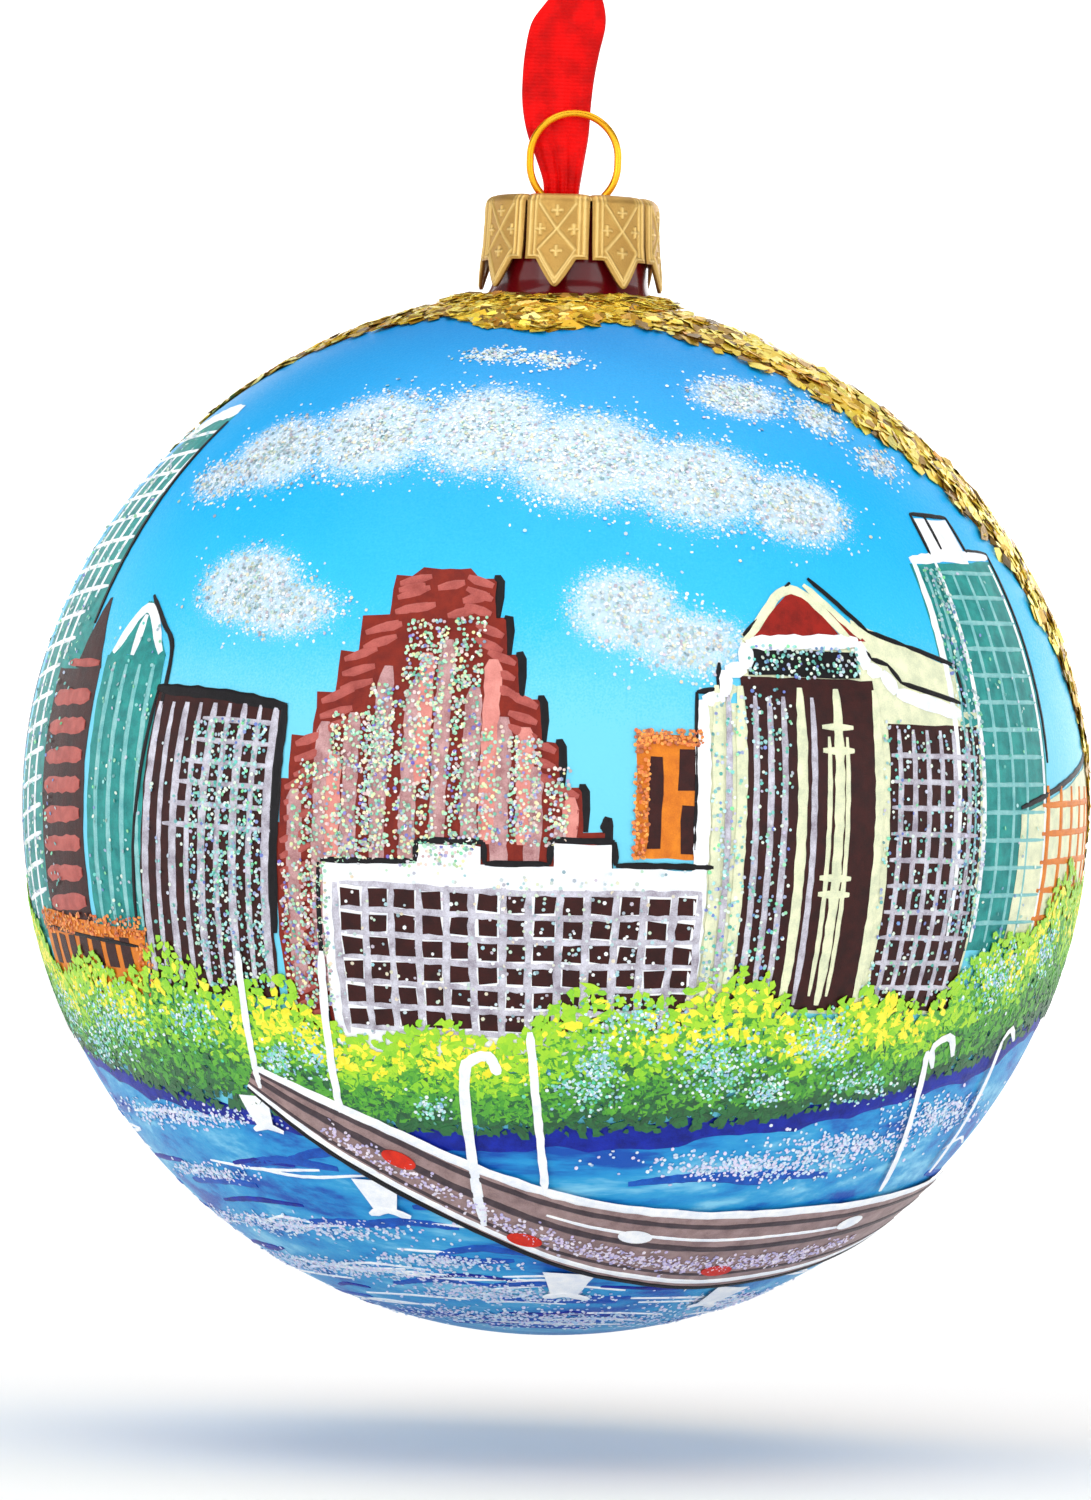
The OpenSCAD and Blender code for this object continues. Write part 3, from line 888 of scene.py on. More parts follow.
def tower_dark():
    """A dark tower with white ribs, a grid at its top right and a slanting black roof line."""
    Layer("dark_tower", BROWN).panel(-50, -31, -21, 10, TRIM, (-47.2, 11), (-29.6, 9.4)).make()
    ribs = Layer("dark_tower_ribs", WASH)
    for k in range(9):
        ribs.stroke([(-49 + 2.15 * k, -20), (-46.6 + 2.0 * k, 9.6)], 0.62 if k % 2 else 0.9, TRIM + 0.03)
    for k in range(6):
        ribs.stroke([(-40 - k, 8 - 2.2 * k), (-30.5, 7.6 - 2.2 * k)], 0.5, TRIM + 0.03)
    ribs.make()
    outline = Layer("dark_tower_outline", BLACK)
    outline.stroke([(-47.6, 11), (-38, 10.5), (-29.4, 9.4)], 1.1, TRIM + 0.04)
    outline.stroke([(-29.6, 9.6), (-30, 0), (-30.6, -14)], 0.95, TRIM + 0.04)
    outline.stroke([(-47.4, 11), (-49.6, -4), (-50.6, -14)], 0.5, TRIM + 0.04).make()


# Tiers of the stepped tower from the top: left, right and top, in degrees
TIERS = [(-19, -7, 24), (-22, -5.5, 19.5), (-24, -4, 15.5), (-26, -1.5, 11), (-28.5, 0.5, 6.5), (-29.5, 3, 2),
         (-30, 5.5, -2.5)]


def tower_stepped():
    """A brick tower in tiers, with slanting courses on its steps and pale pillars up its face."""
    body = Layer("stepped_tower", BRICK)
    outline = Layer("stepped_tower_outline", BLACK)
    courses = Layer("stepped_tower_courses", SALMON)
    low = -24
    for k, (left, right, top) in enumerate(TIERS):
        floor = TIERS[k + 1][2] if k + 1 < len(TIERS) else low
        body.panel(left, right, floor - 0.4, top, BASE + 0.002 * k)
        corner = [(right - 0.6, top + 0.15), (right + 0.1, top - 0.4), (right + 0.2, floor)]
        outline.stroke(corner, 0.75, DETAIL)
        for step in np.arange(floor + 0.8, top, 1.6):
            slant = rng.uniform(0.5, 1.0)
            courses.stroke([(left + 0.6, step - 0.4), (left + 4.2, step + slant)], 0.85, DETAIL)
            courses.stroke([(right - 0.6, step - 0.4), (right - 3.6, step + slant)], 0.85, DETAIL)
    for lon, lat in ((-17, 22.6), (-12.5, 23), (-9.5, 21.6), (-15.5, 20.4), (-11, 19.9), (-19, 18.2)):
        courses.stroke([(lon - 1.4, lat - 0.3), (lon + 1.6, lat + 0.4)], 0.9, DETAIL)
    body.panel(-17.5, -9, 23.8, 25, BASE, (-16, 25), (-10.5, 25))
    body.make()
    outline.make()
    courses.make()
    pillars = Layer("stepped_tower_pillars", MAUVE)
    for lon, top in ((-28, 1), (-25, 8), (-21.8, 9), (-18.6, 14), (-15.4, 12.5), (-12.2, 17), (-9, 12),
                     (-5.8, 9), (-2.4, 4), (0.6, -1)):
        pillars.stroke([(lon, -20), (lon + 0.3, top)], 1.5, LINE, taper=0.05)
    pillars.make()
    lights = Layer("stepped_tower_lights", PINK)
    for lon, top, low in ((-23.4, 5, -8), (-14, 15.5, 2), (-6.9, 15, -4), (-3.2, 8, -4), (1.6, 1, -4)):
        lights.stroke([(lon, low), (lon, top)], 1.5, TRIM, taper=0.05)
    lights.make()


def hall_white():
    """A long white building with two roof blocks and a grid of dark windows."""
    wall = Layer("white_hall", WHITE).panel(-24.5, 15.8, -27.5, -6.1, HALL)
    wall.panel(-14, -7.4, -7, -4.2, HALL).panel(0, 6, -7, -3.8, HALL).make()
    windows = Layer("white_hall_windows", BROWN)
    for column in range(13):
        for row in range(6):
            left, top = -22.4 + 2.95 * column, -9 - 2.55 * row
            windows.panel(left, left + 2.1, top - 1.9, top, HALL + 0.02, shake=0.16)
    windows.make()
    wash = Layer("white_hall_wash", WASH)
    for column in range(14):
        lon = -22.9 + 2.95 * column
        wash.stroke([(lon, -24.5), (lon + rng.uniform(-0.3, 0.3), -8.4)], 0.7, HALL + 0.03, shake=0.1)
    for row in range(7):
        lat = -8.4 - 2.55 * row
        wash.stroke([(-22.5, lat), (-3, lat - 0.5), (15.5, lat)], 0.55, HALL + 0.03, shake=0.1)
    wash.make()
    outline = Layer("white_hall_outline", BLACK)
    roof = [(-24.6, -6.2), (-14.3, -6), (-14.1, -3.8), (-7.2, -3.8), (-7, -6), (-0.4, -5.9), (-0.2, -3.4),
            (6.2, -3.4), (6.4, -5.8), (16.6, -5.7)]
    outline.chain(roof, 0.6, HALL).stroke([(-24.9, -6.4), (-25.3, -25)], 0.5, HALL).make()


def block_orange():
    """A small orange building with two dark windows, between the hall and the great tower."""
    Layer("orange_block", ORANGE).panel(8.3, 15.2, -5, 7.6, BASE).make()
    windows = Layer("orange_block_windows", BROWN)
    windows.panel(12.6, 14.8, 2, 6.2, DETAIL).panel(13, 14.8, -4.5, 0.5, DETAIL)
    windows.panel(9.6, 11, -4, 5.4, DETAIL).make()


def tower_great():
    """The great cream tower: stepped outline, red gables, dark window bands and a pale wing."""
    back = Layer("great_tower_wing", CREAM).panel(34, 48.5, -19, 12, LINE, (34, 20.6), (48.2, 15.4))
    back.panel(15, 51, -21, 11, BASE).panel(17.6, 20.6, 10.6, 14.6, BASE)
    back.panel(20, 35.5, 10.6, 18.2, BASE).make()
    body = Layer("great_tower", BROWN)
    body.panel(19.5, 35.5, -20.5, 14, TRIM)
    body.panel(37, 50.5, -20.5, 9.5, TRIM)
    body.make()
    gables = Layer("great_tower_gables", RED_PAINT)
    gables.panel(20, 33.5, 17.5, 24, TRIM, (26.4, 23.5), (28, 23.5))
    gables.panel(32.6, 35.6, 18.2, 21.6, TRIM, (29.4, 22.8), (30.2, 23.2)).make()
    cream = Layer("great_tower_ribs", CREAM)
    outline = [(15.2, -20), (15.2, 11.4), (17.6, 11.8), (17.8, 14.6), (20.2, 14.8), (20.4, 17.6), (34.4, 18.2),
               (35, 15.2), (37, 15), (38.6, 12.8), (48, 10.8)]
    Layer("great_tower_rim", WHITE).chain(outline, 1.4, TRIM + 0.05).make()
    cream.stroke([(20.3, 17.8), (26.8, 23.8), (33.8, 18)], 0.9, TRIM + 0.04)
    cream.stroke([(28.6, 24.4), (35, 18.6)], 0.7, TRIM + 0.04)
    cream.uprights((16.8, 19.4, 26.2, 30.6, 35.6), -20, 13, 1.0, TRIM + 0.04)
    cream.levels((9, 6.6, -6.5, -8.2), 28.6, 32.4, 0.7, TRIM + 0.05)
    cream.uprights((29.4, 31.6), -19, 8, 0.5, TRIM + 0.05).make()
    wash = Layer("great_tower_wash", WASH)
    wash.uprights((18, 21, 22.6, 24.2, 27.6), -20, 12, 0.62, TRIM + 0.04)
    wash.uprights((38.4, 40.4, 42.4, 44.4, 46.4, 48.6), -20, 9, 0.62, TRIM + 0.04)
    wash.levels(np.arange(-18, 9, 2.7), 37.2, 50, 0.5, TRIM + 0.04).make()
    Layer("great_tower_band", BLACK).panel(20.4, 34, 14.2, 17, TRIM + 0.02).make()
    edge = Layer("great_tower_outline", BLACK)
    for points in ([(14.6, -4), (14.6, 12.2), (17, 12.6), (17.2, 15.4)], [(20.2, 18.4), (26.9, 24.6)],
                   [(29.4, 25.2), (36, 19.4), (41, 18), (48.4, 16)], [(48.4, 16), (49, 11.6)],
                   [(35, 17.4), (35.8, 16.4), (38, 15.8), (39.6, 13.9), (48.2, 12)]):
        edge.chain(points, 0.5, TRIM + 0.02)
    edge.make()


def tower_right():
    """A teal glazed tower with a white grid and a white box on its roof."""
    Layer("right_tower", TEAL).panel(47, 65, -14, 28.5, BASE, (46, 27.5), (64.5, 28.5)).make()
    Layer("right_tower_box", WHITE).panel(51, 58.5, 28, 33.4, DETAIL).make()
    grid = Layer("right_tower_grid", PALE_TEAL)
    grid.uprights((48.6, 49.8, 54, 57, 60), -13, 27, 0.45, DETAIL, lean=-0.4)
    grid.levels(np.arange(-11, 28, 2.9), 51, 64, 0.42, DETAIL, rise=0.2).make()
    lines = Layer("right_tower_lines", WHITE)
    for lon, width in ((47.2, 0.9), (51.4, 0.6), (64.2, 0.45)):
        lines.stroke([(lon, -13), (lon - 0.4, 28)], width, DETAIL)
    lines.stroke([(46.2, 28), (55, 28.8), (64.4, 29)], 1.0, LINE).make()
    outline = Layer("right_tower_outline", BLACK)
    for points in ([(50.6, 28.8), (50.6, 34)], [(50.6, 34), (58.8, 33.8)], [(58.8, 33.8), (59.2, 29)],
                   [(53.5, 34), (53.5, 29.6)], [(59, 29.6), (64.8, 29.4)], [(64.8, 29.4), (65.2, 6)]):
        outline.stroke(points, 0.5, LINE)
    outline.make()


def block_far_right():
    """A cream building with an orange grid at the right limb."""
    Layer("far_right_block", CREAM).panel(58, 86, -13, 4, LINE, (58.5, 0.5), (85, 6.5)).make()
    grid = Layer("far_right_block_grid", ORANGE)
    grid.uprights((65, 69, 73, 77, 81, 84.5), -12, 3.6, 0.9, TRIM)
    grid.levels((-10.5, -7.5, -4.5, -1.5, 1.5), 63.5, 85, 0.6, TRIM, rise=0.6).make()
    Layer("far_right_block_outline", BLACK).stroke([(58.4, 1.2), (85, 7.2)], 0.6, TRIM).make()


def block_left():
    """A low orange building with dark windows at the left limb."""
    Layer("left_block", ORANGE).panel(-75, -51, -22, -13, TRIM + 0.02, (-74.5, -12.6), (-49.4, -14.6)).make()
    windows = Layer("left_block_windows", BROWN)
    for k in range(7):
        lon = -73 + 3.1 * k
        windows.panel(lon, lon + 1.9, -18.6, -15.4, TRIM + 0.05)
    windows.make()
    Layer("left_block_outline", BLACK).stroke([(-73, -14.6), (-51, -16.2)], 0.4, TRIM + 0.06).make()


def side_blocks():
    """Plain generic buildings round the sides, where the skyline runs on to the picture's edge."""
    walls = {"cream": Layer("side_blocks_cream", CREAM), "teal": Layer("side_blocks_teal", TEAL),
             "brown": Layer("side_blocks_brown", BROWN)}
    lines = Layer("side_blocks_lines", WASH)
    outline = Layer("side_blocks_outline", BLACK)
    plan = ((-93, 8, 16, "teal"), (-102, 8, 4, "cream"), (-111, 8, 11, "brown"), (-120, 8, 0, "cream"),
            (-129, 8, -6, "teal"), (87, 6, 2, "brown"), (94, 6, -5, "teal"))
    for left, width, top, wall in plan:
        right = left + width
        walls[wall].panel(left, right, -18, top, BASE)
        lines.uprights(np.arange(left + 1.4, right - 0.6, 1.9), -16, top - 1, 0.6, DETAIL)
        lines.levels(np.arange(-14, top - 1, 3), left + 0.6, right - 0.6, 0.45, DETAIL)
        outline.stroke([(left, top + 0.3), (right, top + 0.3)], 0.6, DETAIL)
    for layer in (*walls.values(), lines, outline):
        layer.make()


for build in (side_blocks, tower_far_left, tower_spire, tower_pointed, tower_dark, tower_stepped,
              hall_white, block_orange, tower_great, tower_right, block_far_right, block_left):
    build()

# ---------------------------------------------------------------- river and bridge

DECK_TOP = [(-37, -29), (-27.5, -33), (-19, -36.5), (-10, -40.5), (1, -44), (11.5, -46), (25, -47), (39, -46.5),
            (54, -45.5), (72, -43.5), (86, -41.5)]
DECK_FOOT = [(-39, -31.5), (-33.5, -36.5), (-27.5, -41), (-14.5, -48.5), (3.5, -56.5), (21.5, -60), (37, -61),
             (52, -59.5), (64, -57.5), (75, -54.5), (86, -51)]
DECK_LIFT = 0.42


def between(share, count=90):
    """A line across the deck, from its top edge at 0 to its foot at 1."""
    top, foot = smooth_line(DECK_TOP, count), smooth_line(DECK_FOOT, count)
    return top * (1 - share) + foot * share


def make_river():
    """Dark and pale strokes on the water, and the dark line under the far bank."""
    bank = Layer("river_bank_line", NAVY)
    lon = np.linspace(-132, 100, 60)
    bank.stroke(np.stack([lon, bank_line(lon) - 0.3], -1), 2.6, BASE, shake=0.12).make()
    dark = Layer("river_dark_strokes", NAVY)
    pale = Layer("river_pale_strokes", WHITE)
    mid = Layer("river_mid_strokes", BLUE)
    for layer, count, width, seed_lat in ((dark, 22, 0.8, -44), (mid, 34, 1.2, -42), (pale, 56, 0.45, -40)):
        for _ in range(count):
            at = rng.uniform(-112, 92)
            lat = seed_lat - rng.uniform(0, 36) + 0.0012 * min(at ** 2, 7000)
            half = rng.uniform(3, 9) / math.cos(math.radians(max(lat, -78)))
            rise = rng.uniform(-1.2, 1.6)
            line = [(at - half, lat), (at, lat + rise), (at + half, lat + 0.4 * rise)]
            layer.stroke(line, width, BASE, taper=0.45)
        layer.make()


def make_bridge():
    """The bridge: grey deck, dark lines, white edges, flared piers, lamp posts and plain oval cars."""
    deck = Layer("bridge_deck", DECK)
    shares = np.linspace(0, 1, 9)
    deck.sheet(np.stack([between(s) for s in shares[::-1]]), DECK_LIFT, thick=0.06)
    deck.make()
    dark = Layer("bridge_lines", DARK_DECK)
    for share, width in ((0.14, 0.7), (0.42, 0.9), (0.78, 0.5)):
        dark.stroke(between(share, 24), width, DECK_LIFT + 0.02)
    dark.make()
    edges = Layer("bridge_edges", WHITE)
    edges.stroke(between(0, 24), 1.1, DECK_LIFT + 0.02)
    edges.stroke(between(0.9, 24), 0.8, DECK_LIFT + 0.02)
    edges.stroke(between(0.3, 24)[9:20], 0.45, DECK_LIFT + 0.02)
    edges.make()
    Layer("bridge_foot_line", BLACK).stroke(between(1, 24), 0.7, DECK_LIFT + 0.02).make()
    piers = Layer("bridge_piers", WHITE)
    for lon, lat, size in ((-38.6, -33, 0.8), (-24.6, -43.5, 1), (6, -58.5, 1.1), (48, -61.5, 1)):
        spread = size / math.cos(math.radians(lat))
        piers.panel(lon - 1.6 * spread, lon + 1.2 * spread, lat - 4.5 * size, lat, DECK_LIFT,
                    (lon - 2.6 * spread, lat + 0.5), (lon + 2.4 * spread, lat + 0.3))
        foot = [(lon - 2.4 * spread, lat - 5 * size), (lon, lat - 4.2 * size),
                (lon + 2.6 * spread, lat - 5.2 * size)]
        piers.stroke(foot, 1.0 * size, DECK_LIFT)
    piers.make()
    lamps = Layer("bridge_lamps", WHITE)
    for points in ([(-35.5, -16), (-36.2, -24), (-37, -31.5)], [(-25, -15.6), (-25.6, -25), (-26.2, -34)],
                   [(-2, -23.6), (-1, -33), (0.3, -43.5)], [(49.2, -25), (52.5, -33), (58, -43.4)],
                   [(65.5, -24), (68, -32), (70.5, -41)]):
        lamps.stroke(points, 0.75, DECK_LIFT + 0.06, taper=0.04)
    lamps.stroke([(-9.2, -49.4), (-9.6, -38), (-9.6, -29), (-8.6, -27), (-6.6, -26.6), (-5.6, -28.6)], 1.0,
                 DECK_LIFT + 0.06, taper=0.04)
    lamps.stroke([(51.5, -27), (50, -24.6), (52.5, -23.4), (54.6, -25.6)], 0.8, DECK_LIFT + 0.06)
    lamps.stroke([(65.5, -24), (67, -22.6), (69.4, -24)], 0.7, DECK_LIFT + 0.06)
    lamps.make()
    red_cars, white_cars = Layer("bridge_red_cars", SCARLET), Layer("bridge_white_cars", WHITE)
    for lon, lat, turn in ((-19.8, -39.9, -0.5), (-2.8, -51.6, -0.35), (36, -57, 0)):
        red_cars.oval(lon, lat, 1.9, 1.05, DECK_LIFT + 0.12, turn)
    for lon, lat, turn in ((15.4, -50.6, -0.15), (58, -48.4, 0.25)):
        white_cars.oval(lon, lat, 1.9, 1.05, DECK_LIFT + 0.12, turn)
    red_cars.make()
    white_cars.make()


make_river()
make_bridge()

# ---------------------------------------------------------------- dabs, glitter and gold


def flakes(name, centres, size, material, sides=6, thick=0.03, tilt=0.5, stretch=0.0, lift=0.0,
           slot="picture_paint"):
    """Many thin flat flakes as one piece. size is across, tilt is the greatest lean in radians."""
    count = len(centres)
    out = centres / np.linalg.norm(centres, axis=1)[:, None]
    side = np.cross(out, [0.0, 0.0, 1.0])
    side /= np.linalg.norm(side, axis=1)[:, None]
    lean = rng.uniform(0, tilt, count)
    heading = rng.uniform(0, 2 * np.pi, count)
    other = np.cross(out, side)
    towards = np.cos(heading)[:, None] * side + np.sin(heading)[:, None] * other
    normal = np.cos(lean)[:, None] * out + np.sin(lean)[:, None] * towards
    u = np.cross(normal, towards + 0.01 * side)
    u /= np.linalg.norm(u, axis=1)[:, None]
    v = np.cross(normal, u)
    angle = np.arange(sides) * 2 * np.pi / sides
    radius = rng.uniform(*size, count)[:, None] / 2 * (1 + stretch * rng.uniform(-1, 1, (count, sides)))
    long = 1 + stretch * rng.uniform(0, 1.2, count)[:, None]
    x, y = radius * np.cos(angle) * long, radius * np.sin(angle)
    middle = centres + out * lift
    flat = middle[:, None] + x[..., None] * u[:, None] + y[..., None] * v[:, None]
    top = flat + normal[:, None] * thick / 2
    bottom = flat - normal[:, None] * thick / 2
    points = np.concatenate([top, bottom], 1).reshape(-1, 3)
    ring = np.arange(sides)
    start = (np.arange(count) * 2 * sides)[:, None]
    tops = (start + ring[None]).tolist()
    bottoms = (start + sides + ring[None, ::-1]).tolist()
    faces = tops + bottoms
    for k in range(sides):
        m = (k + 1) % sides
        faces += (start + np.array([[k, sides + k, sides + m, m]])).tolist()
    made = piece(name, points, faces, material, "ball", slot=slot, smooth=False)
    store(made, "tint", np.repeat(rng.uniform(0, 1, count), 2 * sides))
    return made


FILM_METALLIC = 0.42
FILM_ROUGH = 0.34


def glitter(name, *colours):
    """Cut metallised film: each flake has one of several tints."""
    made = Shader(name, Metallic=FILM_METALLIC, Roughness=FILM_ROUGH)
    stops = [(k / len(colours), srgb(*colour)) for k, colour in enumerate(colours)]
    tinted = made.ramp(made.value("tint"), *stops)
    grain = made.noise(3000, 2.0)
    made.colour(made.blend(made.math("MULTIPLY", grain, 0.1), tinted, (1, 1, 1, 1)))
    made.rough(made.ramp(grain, (0.3, FILM_ROUGH - 0.06), (0.7, FILM_ROUGH + 0.12)))
    return made.material


def scatter(patches, lift):
    """Points in patches of (longitude, latitude, half width, half height, count), thinner at their edges."""
    found = []
    for lon, lat, half_w, half_h, count in patches:
        x = np.clip(rng.normal(0, 0.5, count), -1.6, 1.6)
        y = np.clip(rng.normal(0, 0.5, count), -1.6, 1.6)
        found.append(on_ball(lon + half_w * x, lat + half_h * y, lift))
    return inside_edge(np.concatenate(found))


def columns(strips, lift):
    """Points spread evenly over strips of (left, right, low, high, count)."""
    found = []
    for left, right, low, high, count in strips:
        found.append(on_ball(rng.uniform(left, right, count), rng.uniform(low, high, count), lift))
    return inside_edge(np.concatenate(found))


def inside_edge(points, spare=0.6):
    """Only the points that lie on the picture's side of its edge."""
    return points[points @ NORMAL < EDGE_OFFSET - spare]


def sponged(name, dark, light, full=1.0):
    """Thick paint put on with a sponge, each dab between two tones."""
    made = Shader(name, Roughness=0.5, Coat_Weight=0.2, Coat_Roughness=0.2)
    made.colour(made.ramp(made.value("tint"), (0.0, srgb(*dark)), (full, srgb(*light))))
    made.bump(made.noise(5000, 2.0), 0.00003)
    return made.material


def make_dabs():
    """Sponged bushes along the far bank: dark green under green, lime and yellow."""
    tones = {"bush_dark": ((18, 76, 40), (30, 110, 50), 3300, -0.02, 0.58),
             "bush_green": ((46, 140, 40), (96, 180, 40), 3800, 0.12, 0.88),
             "bush_lime": ((130, 205, 30), (176, 222, 30), 2300, 0.42, 1.12),
             "bush_yellow": ((236, 226, 20), (250, 240, 60), 1000, 0.58, 1.02)}
    for k, (name, (dark, light, count, low, high)) in enumerate(tones.items()):
        count = int(count * 2.3)
        lon = rng.uniform(-136, 104, count)
        clump = 0.5 + 0.5 * np.sin(lon * 0.19 + k * 1.3) * np.cos(lon * 0.07 + 2 * k)
        if name == "bush_yellow":
            keep = rng.uniform(0, 1, count) < clump ** 1.5 + 0.12
            lon, clump = lon[keep], clump[keep]
        height = 13.2 + 2.4 * np.sin(lon * 0.11) + 1.5 * np.sin(lon * 0.37)
        share = low + (high - low) * rng.beta(1.6, 1.6, len(lon))
        lat = bank_line(lon) + 0.6 + height * share
        material = sponged(name, dark, light)
        keep = on_ball(lon, lat) @ NORMAL < EDGE_OFFSET - 0.8
        lon, lat = lon[keep], lat[keep]
        flakes(name + "_dabs", on_ball(lon, lat, 0.33 + 0.012 * k), (0.32, 0.9), material, thick=0.05,
               tilt=0.1, stretch=0.6)
    cloud_dabs()


def cloud_dabs():
    """White dabs of a sponge over the soft clouds of the ground coat."""
    material = sponged("cloud_white", (176, 208, 226), (232, 240, 246), 0.7)
    patches = [(lon, lat, w * 0.8, h * 0.82, int(36 * w * h ** 0.5 * strength))
               for lon, lat, w, h, strength in CLOUDS]
    flakes("cloud_dabs", scatter(patches, 0.1), (0.12, 0.32), material, tilt=0.08, stretch=0.3)


def make_glitter():
    silver = glitter("glitter_silver", (225, 232, 236), (150, 205, 215), (236, 220, 190), (190, 225, 200),
                     (205, 190, 205), (120, 160, 170), (240, 244, 246))
    teal = glitter("glitter_teal", (90, 205, 190), (185, 230, 235), (40, 165, 150), (205, 200, 225),
                   (120, 225, 150), (90, 110, 200), (225, 240, 225))
    rose = glitter("glitter_rose", (120, 215, 165), (226, 196, 196), (240, 238, 170), (60, 180, 150),
                   (206, 160, 168), (236, 240, 225), (100, 80, 190), (170, 225, 190))
    green = glitter("glitter_green", (50, 205, 150), (150, 235, 215), (30, 160, 120), (205, 240, 245),
                    (120, 180, 225), (235, 248, 250))
    lilac = glitter("glitter_lilac", (215, 195, 235), (240, 225, 245), (180, 170, 225), (250, 240, 250))
    ice = glitter("glitter_ice", (210, 235, 250), (240, 248, 255), (170, 210, 245), (235, 225, 250))
    orange = glitter("glitter_orange", (216, 92, 8), (238, 132, 26), (150, 56, 6), (250, 160, 50))
    fine = (0.26, 0.4)

    patches = [(lon, lat, w * 0.75, h * 0.8, int(11 * w * h ** 0.5 * strength))
               for lon, lat, w, h, strength in CLOUDS]
    flakes("cloud_glitter", scatter(patches, 0.17), fine, silver)
    strips = [(-41, -31.5, -20, 8, 1000), (-48, -40, -20, 6, 90), (16, 20, -20, 12, 260),
              (20.5, 25, -20, 13, 220), (20.5, 34, 14, 17.4, 170), (36, 40, -20, 10, 150),
              (40, 50, -20, 9, 240), (47.4, 51.4, -12, 27, 420), (-82, -66, -14, 44, 420),
              (-58, -48, -14, 18, 110), (52, 64, -13, 27, 50)]
    flakes("tower_glitter", columns(strips, 0.28), fine, teal)
    strips = [(-29.5, -24, -22, -6, 520), (-28, -19, -6, 4, 420), (-20, -17, -5, 12, 340),
              (-16.6, -12, -5, 19, 640), (-11.4, -8, -5, 19.5, 480), (-24, -17, 3, 9, 260),
              (-8, -5.5, -4, 8, 160), (-5, -1.5, -4, 7, 300), (-1, 1.5, -4, 4, 120),
              (-23, -9, -6.5, -4, 120)]
    flakes("brick_glitter", columns(strips, 0.26), fine, rose)
    strips = [(-24, 17, -25, -6, 240), (-6, 10, -24, -7, 220)]
    flakes("hall_glitter", columns(strips, 0.32), fine, silver)
    patches = [(-60, -25, 12, 5, 620), (-44, -24, 6, 4, 260), (-28, -27, 5, 4, 160), (20, -27, 9, 5, 620),
               (33, -24, 8, 4, 420), (5, -30, 8, 4, 300), (58, -17, 9, 5, 520), (-75, -24, 8, 4, 260),
               (40, -29, 10, 3, 260), (10, -22, 7, 3, 220), (6, -27, 3, 3, 220), (27, -30, 4, 2.5, 240),
               (-68, -28, 5, 3, 240), (-33, -28, 4, 2.5, 220), (-14, -33, 4, 2, 120), (70, -14, 5, 4, 260)]
    patches = [(lon, lat, 0.65 * w, 0.8 * h, int(0.6 * count)) for lon, lat, w, h, count in patches]
    flakes("bush_glitter", scatter(patches, 0.41), fine, green)
    patches = [(-56, -36, 18, 1.6, 420), (-48, -52, 26, 1.8, 620), (-50, -60, 32, 2, 620),
               (-10, -64, 24, 2.4, 520), (30, -40, 16, 2, 520), (45, -37, 14, 2, 420),
               (60, -33, 12, 2.4, 420), (-20, -57, 14, 1.4, 320), (0, -72, 60, 4, 900),
               (60, -66, 26, 3, 420), (-60, -44, 12, 1.2, 260)]
    flakes("river_glitter", scatter(patches, 0.16), fine, ice)
    line = between(0.6, 900)[120:760]
    line = line + rng.normal(0, 1, line.shape) * np.array([0.8, 0.7])
    again = between(0.68, 900)[300:700]
    again = again + rng.normal(0, 1, again.shape) * np.array([0.8, 0.6])
    points = np.concatenate([line, again])
    flakes("bridge_glitter", on_ball(points[:, 0], points[:, 1], DECK_LIFT + 0.07), fine, lilac)
    strips = [(8, 9.6, -5, 8, 170), (8, 15.2, 6.6, 8.2, 150), (-75, -49.5, -15.2, -13, 300),
              (-51.4, -49, -22, -14, 120)]
    flakes("orange_glitter", columns(strips, 0.28), (0.24, 0.42), orange)


def gold():
    """Brass leaf broken into flakes, yellow to orange from flake to flake; some flakes are painted dark olive
    brown as painted shade and some pale yellow as painted highlight.
    """
    made = Shader("gold_leaf", Metallic=0.75, Roughness=0.3)
    # Each flake's random tint picks its colour: yellow to orange is the leaf's own, the dark olive brown end is
    # painted shade and the pale yellow stop is painted highlight.
    made.colour(made.ramp(made.value("tint"), (0.0, srgb(104, 80, 22)), (0.2, srgb(176, 132, 30)),
                          (0.45, srgb(232, 192, 44)), (0.7, srgb(244, 224, 84)), (0.92, srgb(250, 238, 140)),
                          (1.0, srgb(236, 144, 20))))
    made.rough(made.ramp(made.noise(2200, 3.0), (0.3, 0.24), (0.7, 0.44)))
    made.bump(made.noise(1500, 3.0), 0.00006)
    return made.material


# Flakes keep clear of the cap's foot by starting this far from the axis
HEAP_R = 10.2


